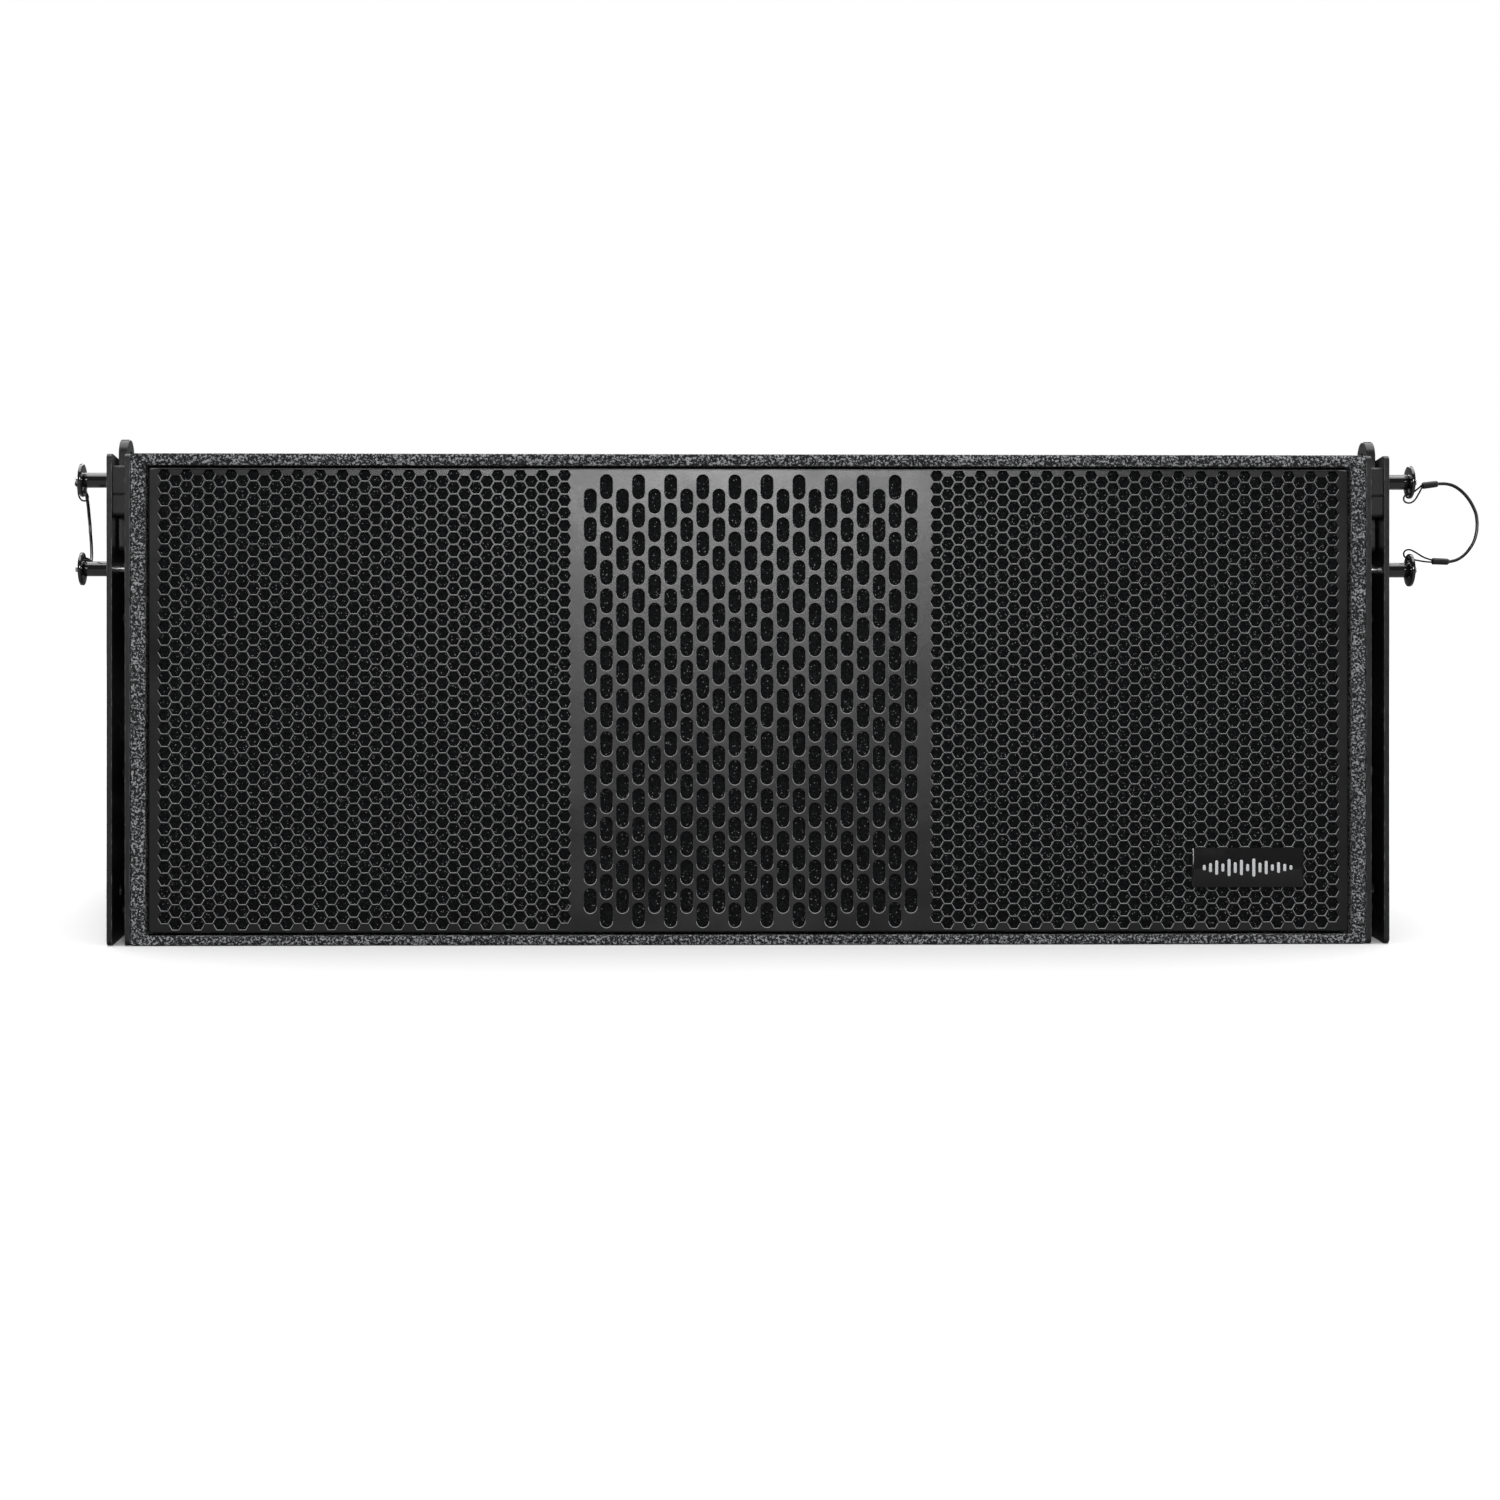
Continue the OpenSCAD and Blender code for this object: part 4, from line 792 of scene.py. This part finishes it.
def cabinet_shell():
    """One painted skin over the panels' joints, with the pin pockets and the rear cut-outs."""
    bm = bmesh.new()
    r = EDGE_R

    def ring(y, shrink):
        outline = round_rect(-HALF, y * SLOPE, HALF, HEIGHT - y * SLOPE, r * 2, 4)
        return [bm.verts.new((x, y, z)) for x, z in inset(outline, shrink)]

    rings = []
    for k in range(4):
        angle = math.radians(90 * k / 3)
        rings.append(ring(DEPTH - r * (1 - math.cos(angle)), r * (1 - math.sin(angle))))
    for k in range(3, -1, -1):
        angle = math.radians(90 * k / 3)
        rings.append(ring(r * (1 - math.cos(angle)), r * (1 - math.sin(angle))))
    edge = REBATE_EDGE
    mouth = round_rect(-HALF + REBATE_SIDE, REBATE_LOW, HALF - REBATE_SIDE, HEIGHT - REBATE_TOP, 0.0016, 4)
    for shrink, y in ((-edge, 0), (-edge * 0.3, edge * 0.3), (0, edge), (0, REBATE_D)):
        rings.append([bm.verts.new((x, y, z)) for x, z in inset(mouth, shrink)])
    faces = []
    for a, b in zip(rings, rings[1:]):
        faces += bridge(bm, a, b)
    bm.faces.new(rings[-1])

    def fill_with(edges, loops):
        """Fills between the edges and hole loops, each (vertices' places, how far the hole goes in)."""
        for places, inward in loops:
            lip = [bm.verts.new(p) for p in places]
            floor = [bm.verts.new(Vector(p) + Vector(inward)) for p in places]
            bridge(bm, lip, floor)
            bm.faces.new(floor)
            edges = edges + ring_edges(bm, lip)
        bmesh.ops.triangle_fill(bm, edges=edges, use_beauty=True)

    def is_wall(face, side):
        """Whether a face is the large flat one of that side."""
        flat = all(abs(v.co.x - side * HALF) < 1e-6 for v in face.verts)
        return flat and face.calc_area() > 0.01

    for side, word in ((-1, "left"), (1, "right")):
        open_face = next(f for f in faces if f.is_valid and is_wall(f, side))
        rim = list(open_face.edges)
        faces.remove(open_face)
        bmesh.ops.delete(bm, geom=[open_face], context="FACES_ONLY")
        pockets = []
        for back, up in [*(pin_axis(f"{word}_{which}_pin") for which in WHICH), *RECEIVERS]:
            h = POCKET / 2
            pockets.append((
                [(side * HALF, back + u, up + v) for u, v in ((-h, -h), (h, -h), (h, h), (-h, h))],
                (-side * POCKET_D, 0, 0),
            ))
        fill_with(rim, pockets)
    cuts = []
    for cx, cz, w, h, corner, depth in (
        (-HANDLE_X, MID_Z, HANDLE_HALF_W, HANDLE_HALF_H, 0.0005, HANDLE_D),
        (HANDLE_X, MID_Z, HANDLE_HALF_W, HANDLE_HALF_H, 0.0005, HANDLE_D),
        (0, INPUT_Z, INPUT_HALF_W, INPUT_HALF_H, 0.001, INPUT_D),
    ):
        loop = [(x, DEPTH, z) for x, z in round_rect(cx - w, cz - h, cx + w, cz + h, corner, 3)]
        cuts.append((loop, (0, -depth, 0)))
    fill_with(ring_edges(bm, rings[0]), cuts)
    bm.transform(SEAT)
    made = finished("cabinet_shell", bm, "textured_paint", 25)
    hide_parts("top_panel", "bottom_panel", "left_side_panel", "right_side_panel", "back_panel")
    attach(made, "cabinet")


cabinet_shell()


# ---- Badge ----


BADGE_V0, BADGE_V1, BADGE_T = GRILLE_LOW + 0.0335, GRILLE_LOW + 0.0635, 0.0012
BAR_PITCH, BAR_HALF_W, BAR_HALF_H = 0.0047, 0.0011, 0.0068
BAR_HEIGHTS = (0.3, 0.5, 0.8, 0.45, 0.95, 0.6, 0.85, 0.4, 1.0, 0.55, 0.75, 0.35, 0.6, 0.4, 0.25)


def badge():
    """A plain dark plate with a row of level bars."""

    def front(u, v, w):
        return seat((u, w, v))

    low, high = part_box("badge_plate")
    outline = round_rect(low.x, BADGE_V0, high.x, BADGE_V1, 0.002, 6)
    plate = slab("badge_face", outline, [], SHEET_Y - BADGE_T, SHEET_Y, 0.0003, front, "badge")
    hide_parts("badge_plate")
    pieces = [plate]
    mid_v = (BADGE_V0 + BADGE_V1) / 2
    for i, share in enumerate(BAR_HEIGHTS):
        u = (low.x + high.x) / 2 + (i - (len(BAR_HEIGHTS) - 1) / 2) * BAR_PITCH
        h = BAR_HALF_H * share
        outline = round_rect(u - BAR_HALF_W, mid_v - h, u + BAR_HALF_W, mid_v + h, 0.0009, 4)
        pieces.append(slab(
            f"badge_bar_{i}", outline, [], SHEET_Y - 0.00135, SHEET_Y - 0.0011, 0.00005, front, "badge_print"
        ))
    for piece in pieces:
        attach(piece, "cabinet")


badge()


# ---- CAD parts that stay ----

slot_of = {row["node"]: row["material_slot"] for row in frame["record"]["subparts"]}
# How far each node's edges are rounded
ROUNDED = {
    "rig_spacers": 0.0005, "rig_bolts": 0.0004, "plate_screws": 0.0003, "input_plate": 0.0006,
    "input_sockets": 0.0006, "rear_handles": 0.0015, "crossover_board": 0.0003, "damping": 0.004,
}
for side in ("left", "right"):
    ROUNDED[side + "_inner_plate"] = 0.0005
    ROUNDED[side + "_outer_plate"] = 0.0007
    ROUNDED[side + "_front_link"] = ROUNDED[side + "_rear_link"] = 0.0008
for name in PINS:
    ROUNDED[name.replace("pin", "button")] = 0.0003
for name, part in frame["nodes"].items():
    if part.hide_render:
        continue
    part.data.materials.clear()
    part.data.materials.append(FINISHES["spacer_coat" if name == "rig_spacers" else slot_of[name]])
    if name in ROUNDED:
        if "custom_normal" in part.data.attributes:
            part.data.attributes.remove(part.data.attributes["custom_normal"])
        part.data.polygons.foreach_set("use_smooth", [True] * len(part.data.polygons))
        weld = part.modifiers.new("weld", "WELD")
        weld.merge_threshold = 0.00001
        flat = part.modifiers.new("flat", "DECIMATE")
        flat.decimate_type, flat.angle_limit = "DISSOLVE", math.radians(0.6)
        edge = part.modifiers.new("edge", "BEVEL")
        edge.width, edge.segments, edge.angle_limit = ROUNDED[name], 3, math.radians(30)
        part.modifiers.new("normals", "WEIGHTED_NORMAL").keep_sharp = True


# ---- Screws ----

SCREW_R, FLANGE_T = 0.0032, 0.003
CORNERS = ((-1, -1), (1, -1), (1, 1), (-1, 1))


def screw_head(name, x, z):
    """A domed screw with a recess, on a flange at the back."""
    r = SCREW_R
    at = SEAT @ Matrix.Translation((x, DEPTH + FLANGE_T, z)) @ Matrix.Rotation(math.radians(-90), 4, "X")
    profile = [
        (0, r), (0.0004, r), (0.0012, r * 0.8), (0.0016, r * 0.45), (0.0016, r * 0.3), (0.0006, r * 0.22),
        (0.0006, 0),
    ]
    head = lathe(name, profile, at, "black_screw", 24)
    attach(head, "cabinet")


for i, cx in enumerate((-HANDLE_X, HANDLE_X)):
    for j, (u, v) in enumerate(CORNERS):
        screw_head(f"handle_screw_{i}{j}", cx + u * 0.0925, MID_Z + v * 0.0505)
for j, (u, v) in enumerate(CORNERS):
    screw_head(f"input_screw_{j}", u * 0.0685, INPUT_Z + v * 0.0415)


# ---- Studio ----


def area(name, place, target, size, power):
    """A rectangular light box at a place, turned to a target."""
    light = bpy.data.lights.new(name, "AREA")
    light.shape = "RECTANGLE"
    light.size, light.size_y = size
    light.energy = power
    made = bpy.data.objects.new(name, light)
    bpy.context.scene.collection.objects.link(made)
    made.location = place
    made.rotation_mode = "QUATERNION"
    made.rotation_quaternion = (Vector(target) - Vector(place)).to_track_quat("-Z", "Y")
    made.visible_camera = False


def studio():
    bm = bmesh.new()
    for a, b in ((-1, -1), (1, -1), (1, 1), (-1, 1)):
        bm.verts.new((a * 14, b * 14, -0.0002))
    bm.faces.new(bm.verts)
    f = Finish("studio_floor", rough=0.6, specular=0.0)
    f.colour(f.mix(f.span(f.noise(3, 2), 0.3, 0.7), (0.86, 0.86, 0.86), (0.88, 0.88, 0.88)))
    # Light that bounces off the floor counts less than the floor shows, as it does beside black flags
    dim = f.node("ShaderNodeBsdfDiffuse", Color=(0.2, 0.2, 0.2, 1))
    path, mix = f.node("ShaderNodeLightPath"), f.node("ShaderNodeMixShader")
    f.tree.links.new(path.outputs["Is Camera Ray"], mix.inputs[0])
    f.tree.links.new(dim.outputs[0], mix.inputs[1])
    f.tree.links.new(f.shader.outputs[0], mix.inputs[2])
    f.tree.links.new(mix.outputs[0], f.tree.nodes["Material Output"].inputs["Surface"])
    FINISHES["studio_floor"] = f.material
    finished("studio_floor", bm, "studio_floor")
    world = bpy.data.worlds.new("studio")
    bpy.context.scene.world = world
    world.use_nodes = True
    nodes, links = world.node_tree.nodes, world.node_tree.links
    sky, out = nodes["Background"], nodes["World Output"]
    sky.inputs["Color"].default_value = (1, 1, 1, 1)
    sky.inputs["Strength"].default_value = 0.12
    seen = nodes.new("ShaderNodeBackground")
    seen.inputs["Color"].default_value = (1, 1, 1, 1)
    seen.inputs["Strength"].default_value = 1.0
    path, mix = nodes.new("ShaderNodeLightPath"), nodes.new("ShaderNodeMixShader")
    links.new(path.outputs["Is Camera Ray"], mix.inputs[0])
    links.new(sky.outputs[0], mix.inputs[1])
    links.new(seen.outputs[0], mix.inputs[2])
    links.new(mix.outputs[0], out.inputs["Surface"])
    ceiling = bpy.data.lights.new("ceiling", "SUN")
    ceiling.energy, ceiling.angle = 3.7, math.radians(80)
    lamp = bpy.data.objects.new("ceiling", ceiling)
    bpy.context.scene.collection.objects.link(lamp)
    lamp.rotation_euler = (math.radians(-12), 0, 0)
    area("front_box", (0.06, -3.0, 1.08), (0, 0, 0.3), (0.9, 0.6), 32)
    area("left_box", (-2.3, -0.5, 0.7), (-0.3, 0, 0.2), (0.5, 1.4), 16)
    area("right_box", (2.3, -0.5, 0.7), (0.3, 0, 0.2), (0.5, 1.4), 16)
    area("back_box", (0, 2.6, 1.2), (0, 0.1, 0.2), (1.6, 0.8), 24)


studio()
bpy.context.scene.view_settings.view_transform = "Standard"
